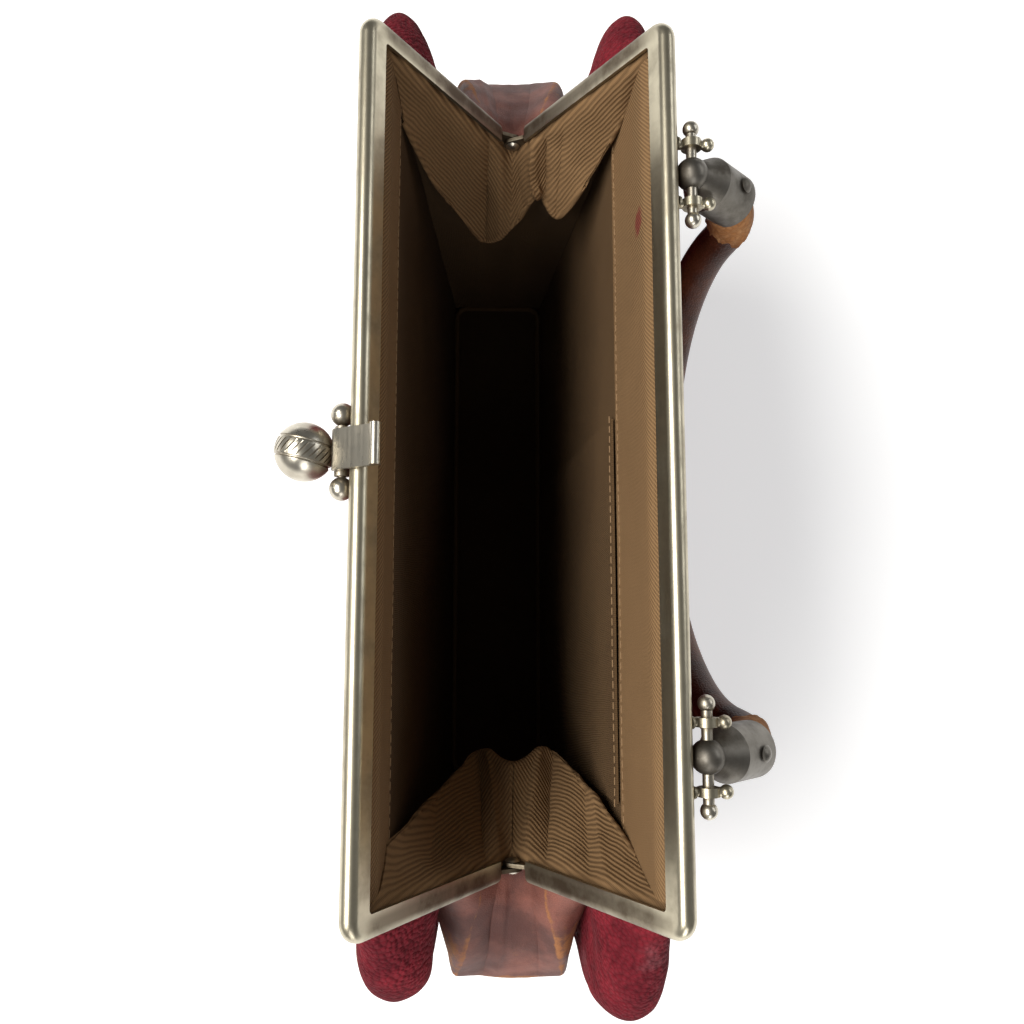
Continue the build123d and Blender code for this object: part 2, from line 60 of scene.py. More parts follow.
LEG_BACK = 5.75
FRAME_HALF = 125.0
FRONT_FOOT, REAR_FOOT = -25.5, 17.5
WALL_TOP_SPREAD = 36.6
WALL_TOP, FLOOR = 202.3, 6.3
FRONT_SEAM, REAR_SEAM = 186.9, 165.9
LINING_END = 115.5


# Shapes

def through(points, steps):
    """Smooth samples through points along the first axis, that never overshoot them."""
    p = np.asarray(points, float)
    d = np.diff(p, axis=0)
    both = d[:-1] * d[1:]
    total = np.where(both > 0, d[:-1] + d[1:], 1)
    middle = np.where(both > 0, 2 * both / total, 0)
    m = np.concatenate([d[:1], middle, d[-1:]])
    at = np.linspace(0, len(p) - 1, steps)
    i = np.minimum(at.astype(int), len(p) - 2)
    t = (at - i).reshape(-1, *[1] * (p.ndim - 1))
    return (
        (2 * t**3 - 3 * t**2 + 1) * p[i] + (t**3 - 2 * t**2 + t) * m[i]
        + (3 * t**2 - 2 * t**3) * p[i + 1] + (t**3 - t**2) * m[i + 1]
    )


def surface(net, rows, columns):
    """A fine grid of points through a net of points."""
    tall = through(net, rows)
    return np.swapaxes(through(np.swapaxes(tall, 0, 1), columns), 0, 1)


def normals_of(grid):
    n = np.cross(np.gradient(grid, axis=1), np.gradient(grid, axis=0))
    return n / np.maximum(np.linalg.norm(n, axis=2, keepdims=True), 1e-9)


def ripples(grid, size, seed):
    """A smooth random value from -1 to 1 at each point of a grid."""
    flat = grid.reshape(-1, 3) / size + seed * 17.3
    return np.array([noise.noise(Vector(p)) for p in flat]).reshape(grid.shape[:2])


def fade(count, edge):
    """Zero at both ends of a row of samples and one away from them."""
    at = np.linspace(0, 1, count)
    return np.clip(np.minimum(at, 1 - at) / edge, 0, 1)


def crumpled(grid, folds, seed):
    """The grid pushed along its normals by ripples, given as (size, height) pairs."""
    n = normals_of(grid)
    keep = fade(grid.shape[0], 0.08)[:, None] * fade(grid.shape[1], 0.05)[None, :]
    push = sum(
        height * ripples(grid, size, seed + k) for k, (size, height) in enumerate(folds)
    )
    return grid + n * (push * keep)[..., None]


def creased(grid, creases, start, end):
    """The grid pushed along its normals into sharp folds (place across, height, width)."""
    n = normals_of(grid)
    down, across = np.linspace(0, 1, grid.shape[0]), np.linspace(0, 1, grid.shape[1])
    grow = np.clip((down - start) / 0.15, 0, 1) * np.clip((end - down) / 0.12, 0, 1)
    push = sum(height * np.exp(-np.abs(across - at) / width) for at, height, width in creases)
    edge = fade(grid.shape[1], 0.06)
    return grid + n * (grow[:, None] * (push * edge)[None, :])[..., None]


def lengths(grid):
    """Distances along the rows and columns of a grid, in metres, as a cloth pattern's UV."""
    u = np.cumsum(np.linalg.norm(np.diff(grid, axis=1, prepend=grid[:, :1]), axis=2), axis=1)
    v = np.cumsum(np.linalg.norm(np.diff(grid, axis=0, prepend=grid[:1]), axis=2), axis=0)
    return np.stack([u, v], axis=2) * MM


def shell(grid, thickness):
    """A closed sheet. The grid is its show side, with its back a thickness behind."""
    rows, columns = grid.shape[:2]
    count = rows * columns
    index = np.arange(count).reshape(rows, columns)
    face = np.stack(
        [index[:-1, :-1], index[:-1, 1:], index[1:, 1:], index[1:, :-1]], axis=-1
    ).reshape(-1, 4)
    loop = np.concatenate([
        index[0], index[1:, -1], index[-1, -2::-1], index[-2:0:-1, 0],
    ])
    after = np.roll(loop, -1)
    rim = np.stack([after, loop, loop + count, after + count], axis=-1)
    back = grid - normals_of(grid) * thickness
    points = np.concatenate([grid.reshape(-1, 3), back.reshape(-1, 3)])
    return points, np.concatenate([face, face[:, ::-1] + count, rim])


def make_piece(name, points, faces, material, uv=None, sharp=50):
    """A mesh object from points in millimetres about the hinge plane."""
    placed = np.array(points, float)
    placed[:, 1] += HINGE_Y
    placed[:, 2] = np.maximum(placed[:, 2], 0)
    mesh = bpy.data.meshes.new(name)
    mesh.from_pydata((placed * MM).tolist(), [], [list(map(int, f)) for f in faces])
    if uv is not None:
        layer = mesh.uv_layers.new(name="cloth")
        corner = np.zeros(len(mesh.loops), np.int32)
        mesh.loops.foreach_get("vertex_index", corner)
        layer.data.foreach_set("uv", np.asarray(uv, float)[corner].ravel())
    mesh.shade_smooth()
    mesh.set_sharp_from_angle(angle=math.radians(sharp))
    mesh.materials.append(material)
    piece = bpy.data.objects.new(name, mesh)
    bpy.context.scene.collection.objects.link(piece)
    return piece


def hung_lengths(grid):
    """A pattern UV for cloth that hangs from the legs: its width, and its length down from them."""
    size = lengths(grid)
    return np.stack([np.abs(grid[..., 1]) * MM, size[..., 1] - grid[:1, :, 2] * MM], axis=2)


def make_sheet(name, grid, thickness, material, pattern=lengths, **extra):
    """A sheet on a grid, whose weave follows its pattern UV."""
    points, faces = shell(grid, thickness)
    uv = pattern(grid).reshape(-1, 2)
    piece = make_piece(name, points, faces, material, np.concatenate([uv, uv]))
    for label, values in extra.items():
        flat = np.concatenate([values.ravel(), values.ravel()])
        attribute = piece.data.attributes.new(label, "FLOAT", "POINT")
        attribute.data.foreach_set("value", flat.astype(np.float32))
    return piece


# Shader building

def add(tree, kind, values=None, **settings):
    """A node with its settings, and with values or links on its inputs."""
    node = tree.nodes.new(kind)
    for key, value in settings.items():
        setattr(node, key, value)
    for key, value in (values or {}).items():
        if isinstance(value, bpy.types.NodeSocket):
            tree.links.new(value, node.inputs[key])
        else:
            node.inputs[key].default_value = value
    return node


def math_node(tree, operation, a, b=0.0, clamp=False):
    return add(tree, "ShaderNodeMath", {0: a, 1: b}, operation=operation, use_clamp=clamp).outputs[0]


def remap(tree, value, low, high, to_low=0.0, to_high=1.0):
    node = add(tree, "ShaderNodeMapRange", {
        "Value": value, "From Min": low, "From Max": high,
        "To Min": to_low, "To Max": to_high,
    }, interpolation_type="SMOOTHSTEP")
    return node.outputs["Result"]


def blend_colour(tree, amount, a, b):
    node = add(tree, "ShaderNodeMix", {"Factor": amount}, data_type="RGBA")
    for socket, value in ((node.inputs[6], a), (node.inputs[7], b)):
        if isinstance(value, bpy.types.NodeSocket):
            tree.links.new(value, socket)
        else:
            socket.default_value = (*value, 1)
    return node.outputs[2]


def noise_node(tree, vector, scale, detail=3.0, roughness=0.55):
    return add(tree, "ShaderNodeTexNoise", {
        "Vector": vector, "Scale": scale, "Detail": detail, "Roughness": roughness,
    }).outputs["Fac"]


def new_group(name, inputs, outputs):
    """An empty shader group with named inputs, given with defaults, and float outputs."""
    group = bpy.data.node_groups.new(name, "ShaderNodeTree")
    for label, value in inputs.items():
        kind = "NodeSocketVector" if value is None else "NodeSocketFloat"
        socket = group.interface.new_socket(label, in_out="INPUT", socket_type=kind)
        if value is not None:
            socket.default_value = value
    for label in outputs:
        group.interface.new_socket(label, in_out="OUTPUT", socket_type="NodeSocketFloat")
    return group, group.nodes.new("NodeGroupInput"), group.nodes.new("NodeGroupOutput")


def make_twill_group():
    """Diagonal ribs crossed by finer threads, on a vector in metres."""
    group, given, made = new_group(
        "twill weave", {"Vector": None, "Rib Pitch": 0.0009, "Lean": 1.0}, ["Height", "Slub"]
    )
    parts = add(group, "ShaderNodeSeparateXYZ", {0: given.outputs["Vector"]})
    lean = math_node(group, "MULTIPLY", parts.outputs["Y"], given.outputs["Lean"])
    waver = math_node(
        group, "MULTIPLY",
        math_node(group, "SUBTRACT", noise_node(group, given.outputs["Vector"], 60, 2), 0.5), 0.0012,
    )
    across = math_node(group, "ADD", math_node(group, "ADD", parts.outputs["X"], lean), waver)
    turns = math_node(group, "DIVIDE", across, given.outputs["Rib Pitch"])
    rib = math_node(group, "SINE", math_node(group, "MULTIPLY", turns, 2 * math.pi))
    thread_turns = math_node(group, "DIVIDE", parts.outputs["Y"], given.outputs["Rib Pitch"])
    thread = math_node(group, "SINE", math_node(group, "MULTIPLY", thread_turns, 5 * math.pi))
    scaled = math_node(group, "MULTIPLY", rib, 0.36)
    fine = math_node(group, "MULTIPLY", thread, 0.12)
    height = math_node(group, "ADD", math_node(group, "ADD", scaled, fine), 0.5)
    group.links.new(height, made.inputs["Height"])
    group.links.new(noise_node(group, given.outputs["Vector"], 900, 2, 0.7), made.inputs["Slub"])
    return group


def make_grain_group():
    """Leather: small pebbles between fine creases, with a slow change of tone."""
    group, given, made = new_group(
        "leather grain", {"Vector": None, "Pebbles": 900.0}, ["Height", "Crease", "Tone"]
    )
    cells = add(group, "ShaderNodeTexVoronoi", {
        "Vector": given.outputs["Vector"], "Scale": given.outputs["Pebbles"],
    }, feature="DISTANCE_TO_EDGE")
    edge = remap(group, cells.outputs["Distance"], 0.0, 0.22)
    fine = noise_node(group, given.outputs["Vector"], 1600, 4, 0.6)
    height = math_node(
        group, "ADD", math_node(group, "MULTIPLY", edge, 0.7), math_node(group, "MULTIPLY", fine, 0.4)
    )
    group.links.new(height, made.inputs["Height"])
    group.links.new(math_node(group, "SUBTRACT", 1.0, edge), made.inputs["Crease"])
    group.links.new(noise_node(group, given.outputs["Vector"], 45, 4, 0.6), made.inputs["Tone"])
    return group


def make_tarnish_group():
    """Old plating: cloudy tarnish, darker where surfaces meet, with fine wiping marks."""
    group, given, made = new_group(
        "tarnish", {"Vector": None, "Amount": 0.5, "Recess": 0.8}, ["Mask", "Marks", "Pits"]
    )
    vector = given.outputs["Vector"]
    cloud = remap(group, noise_node(group, vector, 70, 5, 0.65), 0.35, 0.75)
    shade = add(group, "ShaderNodeAmbientOcclusion", {"Distance": 0.006}, samples=6)
    recess = math_node(
        group, "MULTIPLY", math_node(group, "SUBTRACT", 1.0, shade.outputs["AO"]),
        given.outputs["Recess"],
    )
    cloudy = math_node(group, "MULTIPLY", cloud, given.outputs["Amount"])
    group.links.new(math_node(group, "ADD", cloudy, recess, True), made.inputs["Mask"])
    drawn = add(group, "ShaderNodeMapping", {"Vector": vector, "Scale": (40, 900, 900)})
    group.links.new(noise_node(group, drawn.outputs[0], 1.0, 3), made.inputs["Marks"])
    pits = remap(group, noise_node(group, vector, 420, 4, 0.7), 0.62, 0.78)
    group.links.new(pits, made.inputs["Pits"])
    return group


def make_pile_group():
    """Cut pile: ends of yarn as small cells, with a soft change of tone."""
    group, given, made = new_group(
        "cut pile", {"Vector": None, "Yarns": 620.0}, ["Height", "Tone", "Fleck"]
    )
    cells = add(group, "ShaderNodeTexVoronoi", {
        "Vector": given.outputs["Vector"], "Scale": given.outputs["Yarns"],
    })
    height = math_node(group, "SUBTRACT", 1.0, cells.outputs["Distance"])
    group.links.new(height, made.inputs["Height"])
    group.links.new(noise_node(group, given.outputs["Vector"], 55, 4, 0.6), made.inputs["Tone"])
    group.links.new(noise_node(group, given.outputs["Vector"], 700, 2, 0.8), made.inputs["Fleck"])
    return group


TWILL = make_twill_group()
GRAIN = make_grain_group()
TARNISH = make_tarnish_group()
PILE = make_pile_group()


def new_material(name, roughness=0.5, metallic=0.0, **inputs):
    """A material, its tree and its principled shader, with constants on its own sockets."""
    material = bpy.data.materials.new(name)
    material.use_nodes = True
    tree = material.node_tree
    shader = tree.nodes["Principled BSDF"]
    shader.inputs["Roughness"].default_value = roughness
    shader.inputs["Metallic"].default_value = metallic
    for label, value in inputs.items():
        shader.inputs[label.replace("_", " ")].default_value = value
    return material, tree, shader


def place_group(tree, group, values):
    node = tree.nodes.new("ShaderNodeGroup")
    node.node_tree = group
    for key, value in values.items():
        if isinstance(value, bpy.types.NodeSocket):
            tree.links.new(value, node.inputs[key])
        else:
            node.inputs[key].default_value = value
    return node


def bump(tree, shader, height, strength, distance):
    node = add(tree, "ShaderNodeBump", {
        "Height": height, "Strength": strength, "Distance": distance,
    })
    tree.links.new(node.outputs[0], shader.inputs["Normal"])


def object_coordinates(tree):
    return add(tree, "ShaderNodeTexCoord").outputs["Object"]


def cloth_coordinates(tree):
    return add(tree, "ShaderNodeUVMap", uv_map="cloth").outputs["UV"]


def on_the_legs(tree, place):
    """One on the legs of the frame, between the hinges and the corners, and zero elsewhere."""
    parts = add(tree, "ShaderNodeSeparateXYZ", {0: place})
    far = remap(tree, math_node(tree, "ABSOLUTE", parts.outputs["X"]), 0.1175, 0.1205)
    out = math_node(tree, "ABSOLUTE", math_node(tree, "SUBTRACT", parts.outputs["Y"], HINGE_Y * MM))
    return math_node(tree, "MULTIPLY", far, remap(tree, out, 0.034, 0.041, 1.0, 0.0))


def make_metal(name, bright, dull, amount, recess=0.8, smooth=0.2, rough=0.5, legs=0.0):
    """Worn plated metal that is bright where it is handled and brown in its corners."""
    material, tree, shader = new_material(name, metallic=1.0)
    place = object_coordinates(tree)
    old = place_group(tree, TARNISH, {"Vector": place, "Amount": amount, "Recess": recess})
    mask = old.outputs["Mask"]
    if legs:
        # The legs between the hinges and the corners are made darker towards the dull colour.
        leg_darkening = math_node(tree, "MULTIPLY", on_the_legs(tree, place), legs)
        mask = math_node(tree, "ADD", math_node(tree, "MULTIPLY", mask, 0.7), leg_darkening, True)
    colour = blend_colour(tree, mask, bright, dull)
    tree.links.new(colour, shader.inputs["Base Color"])
    marked = math_node(tree, "MULTIPLY", old.outputs["Marks"], 0.12)
    worn = remap(tree, mask, 0.0, 1.0, smooth, rough)
    tree.links.new(math_node(tree, "ADD", worn, marked), shader.inputs["Roughness"])
    pitted = math_node(tree, "MULTIPLY", old.outputs["Pits"], -0.6)
    bump(tree, shader, math_node(tree, "ADD", old.outputs["Marks"], pitted), 0.12, 0.0001)
    return material


def make_cloth(name, light, dark, pitch, lean, depth, stain=None):
    """Woven lining: the ribs are bumped and their tops painted lighter as a painted highlight, and the tone
    drifts with handling.
    """
    material, tree, shader = new_material(name, 0.85, Specular_IOR_Level=0.25)
    shader.inputs["Sheen Weight"].default_value = 0.05
    shader.inputs["Sheen Tint"].default_value = (*light, 1)
    weave = place_group(tree, TWILL, {
        "Vector": cloth_coordinates(tree), "Rib Pitch": pitch, "Lean": lean,
    })
    place = object_coordinates(tree)
    drift = math_node(tree, "MULTIPLY", noise_node(tree, place, 28, 4, 0.6), 0.5)
    # Painted highlight: the raised rib tops are painted lighter in the colour.
    ribs = math_node(tree, "MULTIPLY", weave.outputs["Height"], depth)
    slub = math_node(tree, "MULTIPLY", weave.outputs["Slub"], 0.25)
    mask = math_node(tree, "ADD", math_node(tree, "ADD", drift, ribs), slub, True)
    colour = blend_colour(tree, mask, dark, light)
    if stain:
        centre, size, tint = stain
        near = add(tree, "ShaderNodeVectorMath", {0: place, 1: centre}, operation="DISTANCE")
        torn = math_node(tree, "MULTIPLY", noise_node(tree, place, 260, 4, 0.7), size * 1.1)
        reach = math_node(tree, "ADD", near.outputs["Value"], torn)
        spot = remap(tree, reach, size * 0.95, size * 1.35, 1.0, 0.0)
        colour = blend_colour(tree, math_node(tree, "MULTIPLY", spot, 0.75), colour, tint)
    tree.links.new(colour, shader.inputs["Base Color"])
    bump(tree, shader, weave.outputs["Height"], 0.8, 0.0005)
    return material


def make_leather(name, light, dark, worn, pebbles, gloss):
    """Grained leather that is rubbed to a lighter tone where its wear attribute says."""
    material, tree, shader = new_material(name, gloss, Specular_IOR_Level=0.25)
    place = object_coordinates(tree)
    grain = place_group(tree, GRAIN, {"Vector": place, "Pebbles": pebbles})
    tone = remap(tree, grain.outputs["Tone"], 0.35, 0.68)
    colour = blend_colour(tree, tone, dark, light)
    wear = add(tree, "ShaderNodeAttribute", attribute_name="wear").outputs["Fac"]
    torn = noise_node(tree, place, 320, 5, 0.7)
    rubbed = remap(tree, math_node(tree, "ADD", wear, torn), 0.75, 1.15)
    colour = blend_colour(tree, rubbed, colour, worn)
    # Painted shade: the creases between the grain's pebbles are painted darker.
    between = math_node(tree, "MULTIPLY", grain.outputs["Crease"], 0.25)
    colour = blend_colour(tree, between, colour, tuple(c * 0.35 for c in dark))
    tree.links.new(colour, shader.inputs["Base Color"])
    roughness = remap(tree, rubbed, 0.0, 1.0, gloss, 0.8)
    tree.links.new(roughness, shader.inputs["Roughness"])
    bump(tree, shader, grain.outputs["Height"], 0.35, 0.0003)
    return material


def make_carpet(name, light, dark, ground, faded, height):
    """Crimson cut pile that is rubbed down to its tan ground along the folds."""
    material, tree, shader = new_material(name, 0.95, Specular_IOR_Level=0.15)
    shader.inputs["Sheen Weight"].default_value = 0.35
    shader.inputs["Sheen Roughness"].default_value = 0.35
    shader.inputs["Sheen Tint"].default_value = (*light, 1)
    place = object_coordinates(tree)
    pile = place_group(tree, PILE, {"Vector": place})
    tone = remap(tree, pile.outputs["Tone"], 0.3, 0.7)
    colour = blend_colour(tree, tone, dark, light)
    patch = remap(tree, noise_node(tree, place, 24, 5, 0.7), 0.56, 0.72)
    colour = blend_colour(tree, math_node(tree, "MULTIPLY", patch, 0.55), colour, faded)
    wear = add(tree, "ShaderNodeAttribute", attribute_name="wear").outputs["Fac"]
    rubbed = remap(
        tree, math_node(tree, "ADD", wear, math_node(tree, "MULTIPLY", pile.outputs["Fleck"], 0.9)),
        0.85, 1.1,
    )
    colour = blend_colour(tree, rubbed, colour, ground)
    shaded = math_node(tree, "MULTIPLY", math_node(tree, "SUBTRACT", 1.0, pile.outputs["Height"]), 0.6)
    colour = blend_colour(tree, shaded, colour, tuple(c * 0.25 for c in dark))
    tree.links.new(colour, shader.inputs["Base Color"])
    bump(tree, shader, pile.outputs["Height"], 0.9, height)
    return material


nickel = make_metal("worn_nickel", (0.55, 0.50, 0.375), (0.13, 0.098, 0.066), 0.75, 0.9, 0.27, 0.48, 0.62)
bright_nickel = make_metal("handled_nickel", (0.60, 0.56, 0.47), (0.20, 0.16, 0.11), 0.5, 1.0, 0.22)
dull_steel = make_metal("dull_steel", (0.20, 0.185, 0.16), (0.06, 0.048, 0.035), 0.8, 1.0, 0.36, 0.6)
spring_steel = make_metal("spring_steel", (0.45, 0.42, 0.36), (0.12, 0.09, 0.06), 0.7, 1.0, 0.3)
twill = make_cloth(
    "lining_twill", (0.245, 0.142, 0.064), (0.045, 0.022, 0.009), 0.0013, 1.1, 1.0
)
leg_twill = make_cloth(
    "gusset_lining_twill", (0.245, 0.142, 0.064), (0.060, 0.031, 0.013), 0.0012, 0.5, 1.0
)
# Painted light: the rear facing's twill is a lighter copy of the front facing's lining twill, for the lit
# rear facing; its red stain is a real stain.
lit_stained_twill = make_cloth(
    "rear_facing_twill", (0.30, 0.175, 0.080), (0.065, 0.034, 0.014), 0.0013, -1.1, 1.0,
    ((-0.071, 0.0313, 0.1975), 0.0062, (0.20, 0.018, 0.022)),
)
# Painted light and shade: the lining cloth comes as a darkened copy for the shaded front wall, the floor
# welt and the deep gusset linings, and a lighter copy for the lit rear wall and its pocket.
shaded_lining_cloth = make_cloth("lining_cloth", (0.115, 0.066, 0.029), (0.050, 0.026, 0.010), 0.0006, 0.1, 0.45)
lit_lining_cloth = make_cloth("rear_lining_cloth", (0.175, 0.102, 0.046), (0.085, 0.046, 0.019), 0.0006, 0.1, 0.45)
# Painted shade: the floor cloth is darkened to stand for the dark at the bottom of the bag.
shaded_floor_cloth = make_cloth("shaded_floor_cloth", (0.075, 0.042, 0.020), (0.03, 0.016, 0.008), 0.0006, 0.1, 0.4)
gusset_leather = make_leather(
    "gusset_leather", (0.255, 0.092, 0.066), (0.095, 0.032, 0.024), (0.38, 0.16, 0.06), 1500, 0.6
)
grip_leather = make_leather(
    "grip_leather", (0.145, 0.042, 0.018), (0.045, 0.014, 0.008), (0.34, 0.13, 0.04), 850, 0.42
)
raw_leather = make_leather(
    "raw_leather", (0.42, 0.18, 0.06), (0.20, 0.075, 0.025), (0.5, 0.27, 0.12), 500, 0.8
)
carpet = make_carpet(
    "carpet", (0.27, 0.020, 0.032), (0.095, 0.006, 0.012), (0.42, 0.20, 0.085), (0.26, 0.115, 0.125), 0.0012
)
thread = make_cloth("stitching", (0.33, 0.21, 0.11), (0.14, 0.08, 0.04), 0.0004, 1.0, 0.6)

for node, material in {
    "front_frame": nickel, "rear_frame": nickel,
    "hinge_pin_left": bright_nickel, "hinge_pin_right": bright_nickel,
    "clasp_posts": bright_nickel, "clasp_pin": bright_nickel, "clasp_lever": bright_nickel,
    "clasp_knob": bright_nickel, "clasp_spring": spring_steel,
    "handle_posts_left": nickel, "handle_posts_right": nickel,
    "handle_rod_left": bright_nickel, "handle_rod_right": bright_nickel,
    "handle_cap_left": dull_steel, "handle_cap_right": dull_steel,
    "cap_rivet_left": dull_steel, "cap_rivet_right": dull_steel,
    "base_board": shaded_floor_cloth, "base_welt": shaded_lining_cloth,
}.items():
    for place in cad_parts[node].material_slots:
        place.material = material


# Carpet panels: level by level, from the seam or the leg round the corner to the middle

def leg_y(height, out):
    """Half width of the open frame at a height, on a face that far from the closing plane."""
    return (height - HINGE_Z) * SLOPE + out / math.cos(OPEN_ANGLE)


carpet_levels = [
    # height, half width, fold tip, seam x, seam y, inner side y, shift
    (0.0, 26.9, 128.5, 129.6, 13.0, 15.5, -4.0),
    (3.0, 28.2, 131.5, 132.4, 13.4, 16.0, -4.0),
    (16.0, 33.0, 140.0, 139.0, 15.0, 18.5, -3.6),
    (50.0, 40.5, 151.0, 146.0, 18.5, 22.5, -2.4),
    (85.0, 44.6, 156.0, 141.0, 22.5, 25.5, -1.2),
    (112.0, 46.0, 157.5, 135.5, 25.5, 26.6, -0.6),
    (128.0, 46.0, 158.0, 132.0, 26.0, 27.0, -0.3),
    (142.0, 45.8, 157.5, 129.0, 26.2, 27.0, 0.0),
    (156.0, 45.2, 154.5, 125.5, 25.5, 27.0, 0.0),
    (168.0, 43.8, 147.5, 122.5, 22.5, 29.0, 0.0),
    (180.0, 42.2, 136.0, 121.3, leg_y(180, LEG_BACK) + 0.7, 33.5, 0.0),
    (190.0, 41.4, 126.0, 121.0, leg_y(190, LEG_BACK) + 0.7, 37.0, 0.0),
    (198.0, 41.2, 122.5, 120.5, leg_y(198, LEG_BACK) + 0.6, 39.8, 0.0),
    (205.2, 41.2, 120.5, 119.0, leg_y(205.2, LEG_BACK) + 0.4, 40.9, 0.0),
    (207.4, 41.2, 119.5, 117.0, 40.2, 40.9, 0.0),
    (209.6, 41.9, 118.8, 116.8, 41.0, 41.5, 0.0),
]


def carpet_line(level):
    """Half of a panel in plan: in from its seam, round the folded corner, to its middle."""
    height, width, tip, seam_x, seam_y, inner, shift = level
    depth = width - inner
    start = max(tip - 0.36 * depth, seam_x - 0.3 * depth)
    return [
        (seam_x, seam_y), ((seam_x + start) / 2, (seam_y + inner) / 2), (start, inner),
        (tip - 0.11 * depth, inner + 0.2 * depth), (tip, inner + 0.48 * depth),
        (tip - 0.11 * depth, inner + 0.76 * depth), (tip - 0.38 * depth, inner + 0.94 * depth),
        (tip - 0.85 * depth, width), (tip * 0.62, width), (tip * 0.31, width), (0, width),
    ]


def carpet_grid(side):
    net = []
    for level in carpet_levels:
        half = carpet_line(level)
        line = [*half, *[(-x, y) for x, y in reversed(half[:-1])]]
        net.append([(x, side * y + level[6], level[0]) for x, y in line])
    net = np.array(net, float)
    if side > 0:
        net = net[:, ::-1]
    x, y, z = net[..., 0], np.abs(net[..., 1]), net[..., 2]
    high = np.clip((z - 60) / 60, 0, 1) * np.clip((186 - z) / 10, 0, 1)
    out = np.clip((np.abs(x) - 126) / 26, 0, 1) * high
    more = np.where(x > 0, 3.0 if side < 0 else 8.5, 8.5)
    aside = np.where(x < 0, 6.5, 0.0) * np.clip((45.5 - y) / 19, 0, 1)
    net[..., 0] += np.sign(x) * more * out
    net[..., 1] += side * aside * out
    return crumpled(surface(net, 96, 181), [(55, 1.6), (22, 0.7), (7, 0.25)], 3 + side)


def fold_wear(grid):
    """How far the pile is rubbed away: along the folded corners of the bag and its seams."""
    x, y, z = np.abs(grid[..., 0]), np.abs(grid[..., 1]), grid[..., 2]
    corner = np.interp(z, [l[0] for l in carpet_levels], [l[2] for l in carpet_levels])
    tip = np.clip((x - corner + 24) / 8, 0, 1) * np.clip((z - 60) / 60, 0.25, 1)
    outer = np.clip((y - 42.6) / 1.6, 0.0, 1)
    foot = np.clip(1 - z / 8, 0, 1) * 0.6
    patchy = 0.55 + 0.9 * ripples(grid, 14, 9)
    return np.clip(tip * outer * patchy + foot, 0, 1)


def tufts_tree():
    """Geometry nodes: short tapered yarn ends over a surface, leaning at random."""
    tree = bpy.data.node_groups.new("yarn ends", "GeometryNodeTree")
    face = tree.interface
    face.new_socket("Geometry", in_out="INPUT", socket_type="NodeSocketGeometry")
    for label, kind in (
        ("Density", "NodeSocketFloat"), ("Length", "NodeSocketFloat"),
        ("Width", "NodeSocketFloat"), ("Seed", "NodeSocketInt"), ("Yarn", "NodeSocketMaterial"),
    ):
        face.new_socket(label, in_out="INPUT", socket_type=kind)
    face.new_socket("Geometry", in_out="OUTPUT", socket_type="NodeSocketGeometry")
    given, made = tree.nodes.new("NodeGroupInput"), tree.nodes.new("NodeGroupOutput")
    share = add(tree, "GeometryNodeInputNamedAttribute", {"Name": "pile"}, data_type="FLOAT")
    density = add(tree, "ShaderNodeMath", {
        0: given.outputs["Density"], 1: share.outputs["Attribute"],
    }, operation="MULTIPLY")
    spread = add(tree, "GeometryNodeDistributePointsOnFaces", {
        "Mesh": given.outputs["Geometry"], "Density": density.outputs[0],
        "Seed": given.outputs["Seed"],
    })
    yarn = add(tree, "GeometryNodeMeshCone", {
        "Vertices": 3, "Side Segments": 1, "Radius Top": 0.00008,
        "Radius Bottom": given.outputs["Width"], "Depth": given.outputs["Length"],
    }, fill_type="NONE")
    lean = add(tree, "FunctionNodeRandomValue", {
        0: (-0.75, -0.75, 0.0), 1: (0.75, 0.75, 6.28), "Seed": given.outputs["Seed"],
    }, data_type="FLOAT_VECTOR")
    turned = add(tree, "FunctionNodeRotateRotation", {
        0: spread.outputs["Rotation"], 1: lean.outputs[0],
    }, rotation_space="LOCAL")
    size = add(tree, "FunctionNodeRandomValue", {2: 0.55, 3: 1.3, "Seed": 7}, data_type="FLOAT")
    planted = add(tree, "GeometryNodeInstanceOnPoints", {
        "Points": spread.outputs["Points"], "Instance": yarn.outputs["Mesh"],
        "Rotation": turned.outputs[0], "Scale": size.outputs[1],
    })
    real = add(tree, "GeometryNodeRealizeInstances", {"Geometry": planted.outputs[0]})
    painted = add(tree, "GeometryNodeSetMaterial", {
        "Geometry": real.outputs[0], "Material": given.outputs["Yarn"],
    })
    tree.links.new(painted.outputs[0], made.inputs[0])
    return tree


